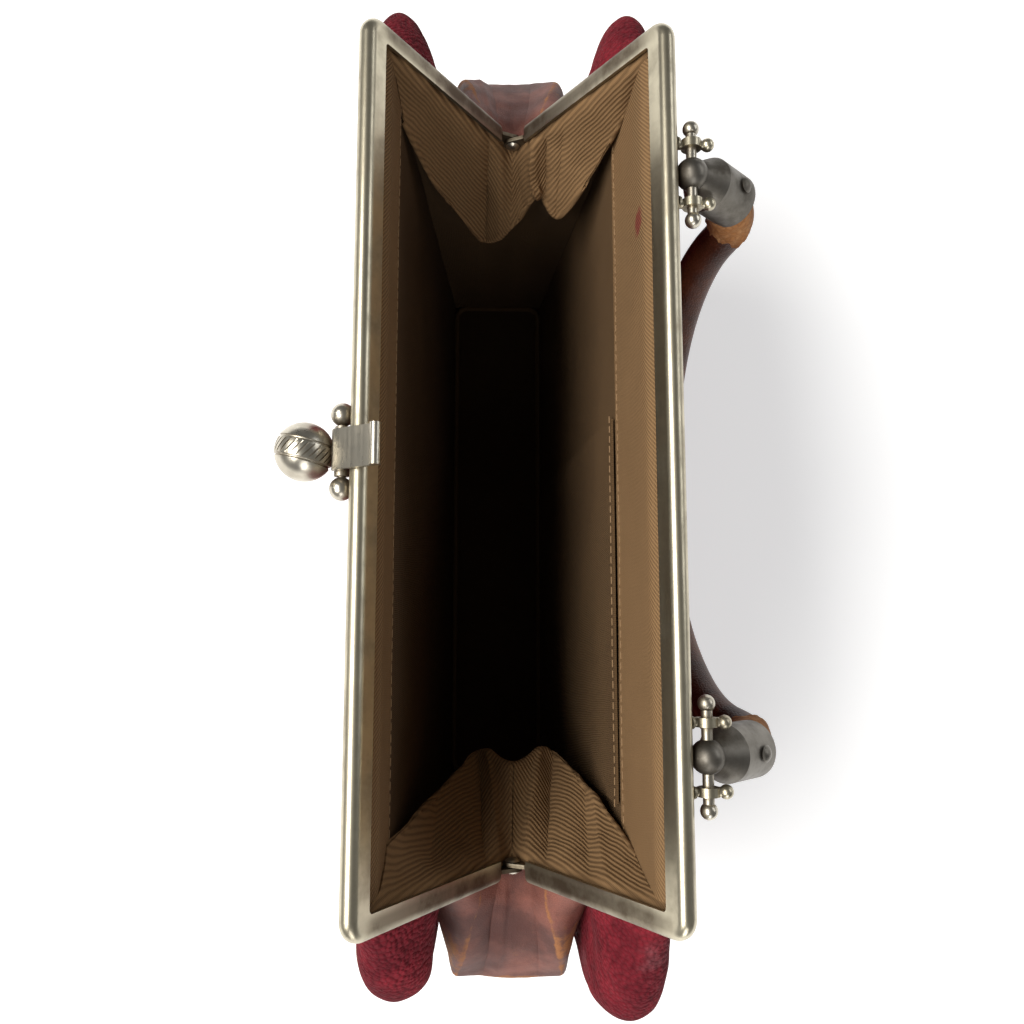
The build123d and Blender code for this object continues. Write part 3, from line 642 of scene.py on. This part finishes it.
def stitches_tree():
    """Geometry nodes: short threads laid end to end along a line of edges."""
    tree = bpy.data.node_groups.new("stitches", "GeometryNodeTree")
    face = tree.interface
    face.new_socket("Geometry", in_out="INPUT", socket_type="NodeSocketGeometry")
    for label, kind in (
        ("Pitch", "NodeSocketFloat"), ("Length", "NodeSocketFloat"),
        ("Width", "NodeSocketFloat"), ("Thread", "NodeSocketMaterial"),
    ):
        face.new_socket(label, in_out="INPUT", socket_type=kind)
    face.new_socket("Geometry", in_out="OUTPUT", socket_type="NodeSocketGeometry")
    given, made = tree.nodes.new("NodeGroupInput"), tree.nodes.new("NodeGroupOutput")
    line = add(tree, "GeometryNodeMeshToCurve", {0: given.outputs["Geometry"]})
    even = add(tree, "GeometryNodeResampleCurve", {
        "Curve": line.outputs[0], "Length": given.outputs["Pitch"],
    }, mode="LENGTH")
    along = add(tree, "GeometryNodeInputTangent")
    aim = add(tree, "FunctionNodeAlignRotationToVector", {"Vector": along.outputs[0]}, axis="Z")
    stitch = add(tree, "GeometryNodeMeshCylinder", {
        "Vertices": 6, "Side Segments": 1, "Radius": given.outputs["Width"],
        "Depth": given.outputs["Length"],
    })
    laid = add(tree, "GeometryNodeInstanceOnPoints", {
        "Points": even.outputs[0], "Instance": stitch.outputs["Mesh"], "Rotation": aim.outputs[0],
    })
    real = add(tree, "GeometryNodeRealizeInstances", {"Geometry": laid.outputs[0]})
    painted = add(tree, "GeometryNodeSetMaterial", {
        "Geometry": real.outputs[0], "Material": given.outputs["Thread"],
    })
    tree.links.new(painted.outputs[0], made.inputs[0])
    return tree


YARN_ENDS = tufts_tree()
STITCHES = stitches_tree()


def grown(name, source, tree, settings):
    """The plain mesh that a node tree makes on a source piece, which is then removed."""
    modifier = source.modifiers.new("grow", "NODES")
    modifier.node_group = tree
    for item in tree.interface.items_tree:
        if item.in_out == "INPUT" and item.name in settings:
            modifier[item.identifier] = settings[item.name]
    bpy.context.view_layer.update()
    graph = bpy.context.evaluated_depsgraph_get()
    mesh = bpy.data.meshes.new_from_object(source.evaluated_get(graph))
    mesh.name = name
    piece = bpy.data.objects.new(name, mesh)
    bpy.context.scene.collection.objects.link(piece)
    bpy.data.objects.remove(source)
    return piece


def make_pile(name, grid, share, seed, density=1.0e6, length=0.0022):
    """Yarn ends that stand on the show side of a grid."""
    rows, columns = grid.shape[:2]
    index = np.arange(rows * columns).reshape(rows, columns)
    faces = np.stack(
        [index[:-1, :-1], index[:-1, 1:], index[1:, 1:], index[1:, :-1]], axis=-1
    ).reshape(-1, 4)
    source = make_piece(name + "_ground", grid.reshape(-1, 3), faces, carpet)
    attribute = source.data.attributes.new("pile", "FLOAT", "POINT")
    attribute.data.foreach_set("value", share.ravel().astype(np.float32))
    return grown(name, source, YARN_ENDS, {
        "Density": density, "Length": length, "Width": 0.00028, "Seed": seed, "Yarn": carpet,
    })


def make_stitches(name, points, pitch=0.0032, length=0.0022, width=0.00022):
    edges = [(k, k + 1) for k in range(len(points) - 1)]
    placed = np.array(points, float)
    placed[:, 1] += HINGE_Y
    mesh = bpy.data.meshes.new(name)
    mesh.from_pydata((placed * MM).tolist(), edges, [])
    source = bpy.data.objects.new(name + "_line", mesh)
    bpy.context.scene.collection.objects.link(source)
    return grown(name, source, STITCHES, {
        "Pitch": pitch, "Length": length, "Width": width, "Thread": thread,
    })


def bend_with(piece):
    """Bake the piece's placement into its mesh."""
    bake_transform(piece)


for side, half, name in ((-1, "front_half", "front"), (1, "rear_half", "rear")):
    grid = carpet_grid(side)
    wear = fold_wear(grid)
    panel = make_sheet(f"{name}_carpet", grid, 2.2, carpet, wear=wear)
    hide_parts(f"{name}_panel")
    x, z = np.abs(grid[..., 0]), grid[..., 2]
    at_corner = np.clip((x - 118) / 12, 0, 1) * np.clip((z - 95) / 25, 0, 1)
    share = (0.14 + 0.95 * at_corner) * np.clip(1.05 - wear, 0.12, 1)
    share *= np.clip((186.0 - z) / 14, 0, 1) * np.clip((z - 3) / 3, 0, 1)
    share *= np.clip((np.abs(grid[..., 1]) - leg_y(z, LEG_BACK) - 3) / 3, 0, 1) ** (z > 150)
    pile = make_pile(f"{name}_pile", grid, share, 11 + side)
    for piece in (panel, pile):
        bend_with(piece)


# Gussets: leather ends that hang between the legs, jut to a lip and run down to the base

gusset_levels = [
    # middle (x, z), lip corner (x, y, z), seam (x, y, z), shift
    ((130.0, 146.4), (130.0, 11.0, 154.0), (123.0, 22.6, 169.0), 0.0),
    ((141.0, 139.4), (140.5, 13.4, 147.0), (125.0, 25.2, 158.0), 0.0),
    ((153.0, 129.0), (152.0, 15.6, 136.0), (128.5, 26.0, 144.0), 0.0),
    ((162.6, 118.8), (161.0, 17.2, 124.0), (131.5, 26.0, 131.0), -0.3),
    ((167.2, 111.4), (165.6, 18.0, 114.5), (134.0, 25.6, 119.0), -0.6),
    ((167.0, 105.5), (165.2, 17.8, 107.0), (136.8, 25.0, 108.0), -0.7),
    ((164.0, 85.0), (162.0, 16.8, 85.0), (141.2, 22.3, 85.0), -1.2),
    ((156.4, 50.0), (154.8, 15.5, 50.0), (146.2, 18.3, 50.0), -2.4),
    ((142.4, 16.0), (141.6, 13.6, 16.0), (139.2, 15.0, 16.0), -3.6),
    ((130.4, 0.0), (130.2, 12.0, 0.0), (129.8, 13.1, 0.0), -4.0),
]


def gusset_grid(end, creases):
    """The leather end, pleated out between its seams to a lip that is widest at its corners."""
    back = leg_y(HINGE_Z, LEG_BACK)
    top = [
        (121.5, y, max(HINGE_Z + (abs(y) - back) / SLOPE - 1.2, 148.8))
        for y in (-22.4, -17, -11, -7.5, -3.5, 0, 3.5, 7.5, 11, 17, 22.4)
    ]
    net = [top]
    for (mid_x, mid_z), (lip_x, lip_y, lip_z), (seam_x, seam_y, seam_z), shift in gusset_levels:
        half = []
        for s in (0, 0.35, 0.72, 1):
            x, z = mid_x + (lip_x - mid_x) * s**2, mid_z + (lip_z - mid_z) * s**1.6
            half.append((x, s * lip_y, z))
        for s in (0.42, 1):
            half.append((
                lip_x + (seam_x - lip_x) * s, lip_y + (seam_y - lip_y) * s,
                lip_z + (seam_z - lip_z) * s,
            ))
        line = [(x, -y, z) for x, y, z in reversed(half[1:])] + half
        net.append([(x, y + shift, z) for x, y, z in line])
    net = np.array(net, float) * (end, 1, 1)
    if end < 0:
        net = net[:, ::-1]
    grid = creased(surface(net, 110, 101), creases, 0.03, 0.5)
    return crumpled(grid, [(30, 0.8), (11, 0.4), (4, 0.12)], 30 + end)


def gusset_wear(grid):
    """Rubbed tan at the lip, at both seams and where the leather creases."""
    columns = np.abs(np.linspace(-1, 1, grid.shape[1]))[None, :]
    z, x = grid[..., 2], np.abs(grid[..., 0])
    lip = np.exp(-(((x - 166.8) / 1.6) ** 2)) * 0.7
    flank = np.clip((columns - 0.58) / 0.1, 0, 1) * np.clip((x - 132) / 20, 0, 1) * 0.5
    crease = np.exp(-(((columns - 0.6) / 0.03) ** 2)) * np.clip((z - 85) / 30, 0, 1) * 0.45
    return np.clip(lip + flank + crease + 0.3 * ripples(grid, 9, 4), 0, 1)


gusset_creases = {
    1: [(0.5, -0.6, 0.1), (0.36, 1.3, 0.05), (0.66, 1.1, 0.05), (0.43, -0.8, 0.03)],
    -1: [(0.5, -0.4, 0.1), (0.37, 1.0, 0.05), (0.63, 1.0, 0.05), (0.7, -0.8, 0.03)],
}
for end, name in ((1, "right"), (-1, "left")):
    grid = gusset_grid(end, gusset_creases[end])
    gusset = make_sheet(f"{name}_gusset", grid, 1.3, gusset_leather, wear=gusset_wear(grid))
    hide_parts(f"gusset_{name}")
    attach(gusset, "bag")
    rows, columns = grid.shape[:2]
    lifted = grid + normals_of(grid) * 0.15
    for way, column in (("front", 4), ("rear", columns - 5)):
        stitches = make_stitches(f"{name}_gusset_{way}_stitches", lifted[8:-3, column])
        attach(stitches, "bag")


# Lining walls

def wall_y(height, side):
    """The show side of a lining wall at a height."""
    foot = FRONT_FOOT if side < 0 else REAR_FOOT
    share = (height - FLOOR) / (WALL_TOP - FLOOR)
    return foot + (side * WALL_TOP_SPREAD - foot) * share


CHANNEL_PATH = [(38.0, 206.4), (39.0, 208.9), (40.3, 211.2)]


def wall_net(side, heights, proud, x0, x1, into_channel):
    """Rows of a lining wall, up to the channel of its bar if it is clamped there."""
    rows = [(side * proud * -1 + wall_y(z, side), z) for z in heights]
    if into_channel:
        rows += [(side * y, z) for y, z in CHANNEL_PATH]
    net = []
    for y, z in rows:
        wide = np.interp(z, [120, 170, 190, 205, 209], [2.2, 1.2, 0.6, 1.8, 2.6])
        ends = (x0 - wide if x0 <= -LINING_END + 1 else x0, x1 + wide if x1 >= LINING_END - 1 else x1)
        net.append([(x, y, z) for x in np.linspace(*ends, 9)])
    net = np.array(net, float)
    return net[:, ::-1] if side > 0 else net


def make_wall(name, side, heights, proud, x0, x1, material, node, folds, seed, top=False):
    """A lining piece on one long side. Its show side faces into the bag."""
    grid = surface(wall_net(side, heights, proud, x0, x1, top), 60, 121)
    grid = crumpled(grid[:, ::-1], folds, seed)
    piece = make_sheet(name, grid, 0.7, material)
    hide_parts(node)
    bend_with(piece)
    return piece, grid


soft_folds = [(45, 0.9), (16, 0.35)]
flat_folds = [(40, 0.4), (15, 0.15)]
walls = [
    ("front_lining_cloth", -1, [6.5, 50, 100, 150, 190.5], 0.0, -LINING_END, LINING_END,
     shaded_lining_cloth, "front_lining", "lining_cloth", soft_folds, 1, False),
    ("front_facing_cloth", -1, [FRONT_SEAM, 192, 198, 203], 0.5, -LINING_END, LINING_END,
     twill, "front_facing", "lining_twill", flat_folds, 2, True),
    ("rear_lining_cloth", 1, [6.5, 50, 100, 140, 169.0], 0.0, -LINING_END, LINING_END,
     lit_lining_cloth, "rear_lining", "lining_cloth", soft_folds, 3, False),
    ("rear_facing_cloth", 1, [REAR_SEAM, 175, 188, 203], 0.5, -LINING_END, LINING_END,
     lit_stained_twill, "rear_facing", "lining_twill", flat_folds, 4, True),
    ("pocket_cloth", 1, [16.0, 60, 110, 150, REAR_SEAM - 1.2], 1.6, -20, 100,
     lit_lining_cloth, "pocket_panel", "lining_cloth", soft_folds, 5, False),
]
for name, side, heights, proud, x0, x1, material, node, slot, folds, seed, top in walls:
    piece, grid = make_wall(
        name, side, heights, proud, x0, x1, material, node, folds, seed, top
    )
    half = "front_half" if side < 0 else "rear_half"
    lifted = grid + normals_of(grid) * 0.12
    if top:
        seam = lifted[3]
        stitches = make_stitches(f"{node}_stitches", seam)
        bend_with(stitches)
    if node == "pocket_panel":
        hem = make_stitches("pocket_hem_stitches", lifted[-3])
        bend_with(hem)


# Gusset linings: cloth from the legs, over two folds that bulge into the bag, to the floor

right_crest = [
    (105.5, -36.2, 192), (101, -27, 160), (95.5, -18.5, 134), (89, -11, 119.5), (94, 1, 127.5),
    (89, 13, 119.5), (94.5, 20.5, 133), (102, 28, 157), (111, 35.2, 182),
]
left_crest = [
    (110.5, -36.0, 182), (106.5, -27.5, 152), (102.5, -18, 131), (99, -9.5, 118), (103.5, 3, 130),
    (108.5, 9.5, 141), (100.5, 16.5, 137.5), (106.5, 27.5, 160), (113.5, 36.0, 185),
]


lining_creases = {
    1: [(0.35, 2.6, 0.03), (0.41, -2.2, 0.03), (0.5, -1.5, 0.06), (0.585, -1.6, 0.02),
        (0.63, 2.6, 0.035), (0.2, 1.7, 0.03), (0.15, -1.4, 0.03), (0.83, 0.9, 0.04)],
    -1: [(0.375, 3.0, 0.03), (0.43, -1.8, 0.04), (0.53, 1.2, 0.04), (0.62, -4.6, 0.018),
         (0.665, 2.4, 0.02), (0.74, 1.6, 0.03), (0.2, 0.9, 0.05)],
}


def gusset_lining_net(end, crest):
    top, mouth, steps = [], [], (-39, -28, -17, -8, 0, 8, 17, 28, 39)
    for y in steps:
        z = max(HINGE_Z + (abs(y) - leg_y(HINGE_Z, LEG_MIDDLE)) / SLOPE, HINGE_Z - 4.2)
        top.append((120.6, y, z + 0.4))
        mouth.append((117.7, y * 0.985, z - 0.6))
    rows = [top, mouth]
    mouth, crest = np.array(mouth, float), np.array(crest, float)
    for share, sag in ((0.3, 1.6), (0.62, 2.2), (0.88, 0.8)):
        row = mouth + (crest - mouth) * share
        row[:, 2] -= sag
        rows.append(row)
    rows.append(crest)
    tucked = crest + np.array([5.0, 0, -6.0])
    rows.append(tucked)
    for height, x in ((95.0, 115.0), (50.0, 115.2), (6.7, 115.2)):
        front, rear = wall_y(height, -1) + 0.3, wall_y(height, 1) - 0.3
        rows.append([(x, front + (rear - front) * k / 8, height) for k in range(9)])
    net = np.array([np.array(row, float) for row in rows])
    for row in net[2:]:
        for column, way in ((0, -1), (8, 1)):
            row[column, 1] = wall_y(row[column, 2], way) - way * 0.4
    net[..., 0] *= end
    return net


for end, name, crest in ((1, "right", right_crest), (-1, "left", left_crest)):
    net = gusset_lining_net(end, crest)
    if end > 0:
        net = net[:, ::-1]
    folded = creased(surface(net, 120, 129), lining_creases[end], 0.06, 0.62)
    entire = crumpled(folded, [(24, 1.2), (10, 0.5), (4.5, 0.2)], 60 + end)
    # Painted shade: below the crest the gusset lining is in the darkened copy of the lining cloth.
    low = make_sheet(f"{name}_gusset_lining_low", entire[80:], 0.7, shaded_lining_cloth)
    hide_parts(f"gusset_lining_{name}")
    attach(low, "bag")
    whole, middle = entire[:83], 64
    for way, half, part in (
        ("front", "front_half", whole[:, : middle + 1] if end < 0 else whole[:, middle:]),
        ("rear", "rear_half", whole[:, middle:] if end < 0 else whole[:, : middle + 1]),
    ):
        piece = make_sheet(f"{name}_gusset_lining_{way}", part, 0.7, leg_twill, hung_lengths)
        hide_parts(f"gusset_lining_{name}")
        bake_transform(piece)


# Floor of the bag and the base

def rounded_slab(half_x, half_y, shift, low, high, radius, rise=0.0):
    """A closed plate with rounded corners and softened edges."""
    corners = []
    for k in range(40):
        angle = 2 * math.pi * k / 40
        cx = math.copysign(half_x - radius, math.cos(angle))
        cy = math.copysign(half_y - radius, math.sin(angle))
        corners.append((cx + radius * math.cos(angle), cy + radius * math.sin(angle)))
    ring = np.array(corners)
    layers = [(0.0, low, 0.6), (0.0, low, 0.97), (0.5, low + 0.4, 1), (0.5, high - 0.4, 1),
              (0.0, high, 0.97), (0.0, high + rise, 0.6), (0.0, high + rise, 0.2)]
    points = [(0, shift, low)]
    for _, z, scale in layers:
        points += [(x * scale, y * scale + shift, z) for x, y in ring]
    points.append((0, shift, high + rise))
    faces = [(0, 1 + (k + 1) % 40, 1 + k) for k in range(40)]
    for layer in range(len(layers) - 1):
        a = 1 + layer * 40
        faces += [
            (a + k, a + (k + 1) % 40, a + 40 + (k + 1) % 40, a + 40 + k) for k in range(40)
        ]
    a = 1 + (len(layers) - 1) * 40
    faces += [(a + k, a + (k + 1) % 40, len(points) - 1) for k in range(40)]
    return np.array(points, float), faces


points, faces = rounded_slab(127.0, 24.4, -4.0, 0.0, 2.2, 8.0)
base = make_piece("base_leather", points, faces, gusset_leather, points[:, :2] * MM)
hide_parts("base_panel")
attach(base, "bag")

points, faces = rounded_slab(115.2, 21.4, -4.0, 5.6, 6.35, 4.0, 0.5)
floor_piece = make_piece("floor_lining", points, faces, shaded_floor_cloth, points[:, :2] * MM)
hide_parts("base_lining")
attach(floor_piece, "bag")


# Handle: a stitched leather tube between the two caps

PIVOT_Y, PIVOT_Z = 49.159, 208.660
GRIP_RADIUS = 6.4
CAP_DIRECTION = (math.sqrt(0.5), -math.sqrt(0.5))
grip_route = [
    (-80.0, PIVOT_Y + 8.9 * CAP_DIRECTION[0], PIVOT_Z + 8.9 * CAP_DIRECTION[1]),
    (-80.0, PIVOT_Y + 31.0 * CAP_DIRECTION[0], PIVOT_Z + 31.0 * CAP_DIRECTION[1]),
    (-73.6, 60.3, 158.0), (-44.0, 56.9, 122.2), (0.0, 56.9, 109.0),
    (44.0, 56.9, 122.2), (73.6, 60.3, 158.0),
    (80.0, PIVOT_Y + 31.0 * CAP_DIRECTION[0], PIVOT_Z + 31.0 * CAP_DIRECTION[1]),
    (80.0, PIVOT_Y + 8.9 * CAP_DIRECTION[0], PIVOT_Z + 8.9 * CAP_DIRECTION[1]),
]


def smooth_route(route):
    """Points read from a smooth spline that has the route's points as its control points."""
    curve = bpy.data.curves.new("grip_route", "CURVE")
    curve.dimensions = "3D"
    spline = curve.splines.new("NURBS")
    spline.points.add(len(route) - 1)
    for point, place in zip(spline.points, route):
        point.co = (*place, 1)
    spline.order_u = 3
    spline.use_endpoint_u = True
    spline.resolution_u = 20
    holder = bpy.data.objects.new("grip_route", curve)
    mesh = bpy.data.meshes.new_from_object(holder)
    line = np.array([v.co for v in mesh.vertices], float)
    bpy.data.objects.remove(holder)
    return line


def tube(line, radius_at, around, seam_turn):
    """Rings round a line, with a slight flat and a pinch along the sewn seam."""
    step = np.gradient(line, axis=0)
    step /= np.linalg.norm(step, axis=1, keepdims=True)
    out = np.array([0.0, 1.0, 0.0])
    rings, wears = [], []
    for place, way, t in zip(line, step, np.linspace(0, 1, len(line))):
        across = np.cross(way, out)
        across /= np.linalg.norm(across)
        away = np.cross(across, way)
        turns = np.linspace(0, 2 * math.pi, around, endpoint=False)
        seam = np.exp(-(((turns - seam_turn) / 0.16) ** 2))
        r = radius_at(t) - 0.45 * seam
        rings.append(place + np.outer(r * np.cos(turns), across) + np.outer(r * np.sin(turns), away))
        wears.append(0.12 + 0.35 * np.clip(np.sin(turns), 0, 1) ** 2 * (0.5 + 0.5 * math.cos(9 * t)))
    return np.array(rings), np.array(wears)


def tube_faces(rows, around):
    faces = []
    for i in range(rows - 1):
        for k in range(around):
            a, b = i * around + k, i * around + (k + 1) % around
            faces.append((a, b, b + around, a + around))
    first, last = rows * around, rows * around + 1
    faces += [(first, (k + 1) % around, k) for k in range(around)]
    base = (rows - 1) * around
    faces += [(last, base + k, base + (k + 1) % around) for k in range(around)]
    return faces


grip_line = smooth_route(grip_route)


def grip_radius(t):
    return GRIP_RADIUS - 0.1 + 0.12 * math.sin(37 * t) + 0.1 * math.sin(23 * t + 1)


rings, wears = tube(grip_line, grip_radius, 40, 1.5 * math.pi)
points = np.concatenate([rings.reshape(-1, 3), grip_line[:1], grip_line[-1:]])
grip = make_piece("grip", points, tube_faces(len(rings), 40), grip_leather)
attribute = grip.data.attributes.new("wear", "FLOAT", "POINT")
attribute.data.foreach_set("value", np.concatenate([wears.ravel(), [0, 0]]).astype(np.float32))
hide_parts("handle_grip")
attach(grip, "handle")


def make_torn_edge(name, end, reach, jag, seed):
    """A collar of torn leather that sticks out of a cap's mouth."""
    middle = int(len(grip_line) * 0.10)
    part = grip_line[: middle + 14] if end < 0 else grip_line[::-1][: middle + 14]
    travel = np.concatenate([[0], np.cumsum(np.linalg.norm(np.diff(part, axis=0), axis=1))])
    around = 72
    grid = []
    for k in range(around + 1):
        turn = 2 * math.pi * (k % around) / around
        ragged = noise.noise(Vector((math.cos(turn) * 2.1 + seed, math.sin(turn) * 2.1, 0)))
        ragged += 0.6 * noise.noise(Vector((math.cos(turn) * 7 + seed, math.sin(turn) * 7, 3)))
        length = reach + jag * ragged
        row = []
        for s in np.linspace(0, 1, 8):
            at = 11.5 + s * max(length, 1.0)
            place = np.array([np.interp(at, travel, part[:, c]) for c in range(3)])
            ahead = np.array([np.interp(at + 1, travel, part[:, c]) for c in range(3)]) - place
            ahead /= np.linalg.norm(ahead)
            across = np.cross(ahead, [0, 1, 0])
            across /= np.linalg.norm(across)
            away = np.cross(across, ahead)
            lift = 0.25 + 1.1 * s**2 * (0.5 + 0.5 * math.sin(5 * turn + seed))
            r = GRIP_RADIUS + 0.35 + lift * 0.6
            row.append(place + r * (math.cos(turn) * across + math.sin(turn) * away))
        grid.append(row)
    grid = np.array(grid)
    if np.dot(normals_of(grid)[20, 2], grid[20, 2] - grid[:, 2].mean(axis=0)) < 0:
        grid = grid[::-1]
    collar = make_sheet(name, grid, 0.35, raw_leather, wear=np.full(grid.shape[:2], 0.35))
    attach(collar, "handle")
    return collar


make_torn_edge("left_torn_edge", -1, 13.5, 5.0, 5.0)
make_torn_edge("right_torn_edge", 1, 11.8, 2.6, 8.0)


# Floor, light and camera

def make_floor():
    mesh = bpy.data.meshes.new("floor")
    reach = 4.0
    mesh.from_pydata(
        [(-reach, -reach, 0), (reach, -reach, 0), (reach, reach, 0), (-reach, reach, 0)], [],
        [(0, 1, 2, 3)],
    )
    ground = bpy.data.objects.new("floor", mesh)
    bpy.context.scene.collection.objects.link(ground)
    material = bpy.data.materials.new("pale_floor")
    material.use_nodes = True
    tree = material.node_tree
    shader = tree.nodes["Principled BSDF"]
    shader.inputs["Base Color"].default_value = (0.86, 0.86, 0.86, 1)
    shader.inputs["Roughness"].default_value = 0.9
    shader.inputs["Specular IOR Level"].default_value = 0.0
    seen = add(tree, "ShaderNodeLightPath")
    either = math_node(tree, "MAXIMUM", seen.outputs["Is Camera Ray"], seen.outputs["Is Glossy Ray"])
    shader.inputs["Emission Color"].default_value = (1, 1, 1, 1)
    away = add(tree, "ShaderNodeVectorMath", {0: object_coordinates(tree)}, operation="LENGTH")
    glow = remap(tree, away.outputs["Value"], 0.45, 1.1, 0.4, 1.0)
    tree.links.new(math_node(tree, "MULTIPLY", either, glow), shader.inputs["Emission Strength"])
    mesh.materials.append(material)


def make_lamp(name, place, aim, size, power, colour=(1, 1, 1)):
    lamp = bpy.data.lights.new(name, "AREA")
    lamp.shape = "RECTANGLE"
    lamp.size, lamp.size_y = size
    lamp.energy = power
    lamp.color = colour
    holder = bpy.data.objects.new(name, lamp)
    holder.location = place
    holder.rotation_mode = "QUATERNION"
    holder.rotation_quaternion = (Vector(aim) - Vector(place)).to_track_quat("-Z", "Y")
    bpy.context.scene.collection.objects.link(holder)


def make_world():
    world = bpy.data.worlds.new("studio")
    bpy.context.scene.world = world
    world.use_nodes = True
    tree = world.node_tree
    back = tree.nodes["Background"]
    seen = add(tree, "ShaderNodeLightPath")
    strength = remap(tree, seen.outputs["Is Camera Ray"], 0.0, 1.0, 0.14, 1.0)
    back.inputs["Color"].default_value = (1, 1, 1, 1)
    tree.links.new(strength, back.inputs["Strength"])


make_floor()
make_world()
middle = (0, 0, 0.2)
make_lamp("key", (0.1, -0.85, 1.4), middle, (1.6, 0.6), 34, (1.0, 0.985, 0.95))
make_lamp("fill", (-0.5, 1.2, 0.9), middle, (1.2, 0.4), 4, (0.95, 0.97, 1.0))
make_lamp("end", (1.4, 0.1, 0.8), middle, (0.5, 0.9), 7)

PITCH, TILT = math.radians(7.4), math.radians(1.41)
forward = Vector((
    -math.sin(PITCH) * math.cos(TILT), math.sin(TILT), -math.cos(PITCH) * math.cos(TILT)
))
right = forward.cross(Vector((-1, 0, 0))).normalized()
up = right.cross(forward)
eye = bpy.data.cameras.new("camera")
eye.sensor_width = 36
eye.lens = 36 * 900 / 1024
eye.clip_start, eye.clip_end = 0.01, 20
camera = bpy.data.objects.new("camera", eye)
turn = Matrix((right, up, -forward)).transposed().to_4x4()
camera.matrix_world = Matrix.Translation(
    Vector((47.1, HINGE_Y - 7.5, 446.9)) * MM
) @ turn
bpy.context.scene.collection.objects.link(camera)
bpy.context.scene.camera = camera
bpy.context.scene.view_settings.view_transform = "Standard"
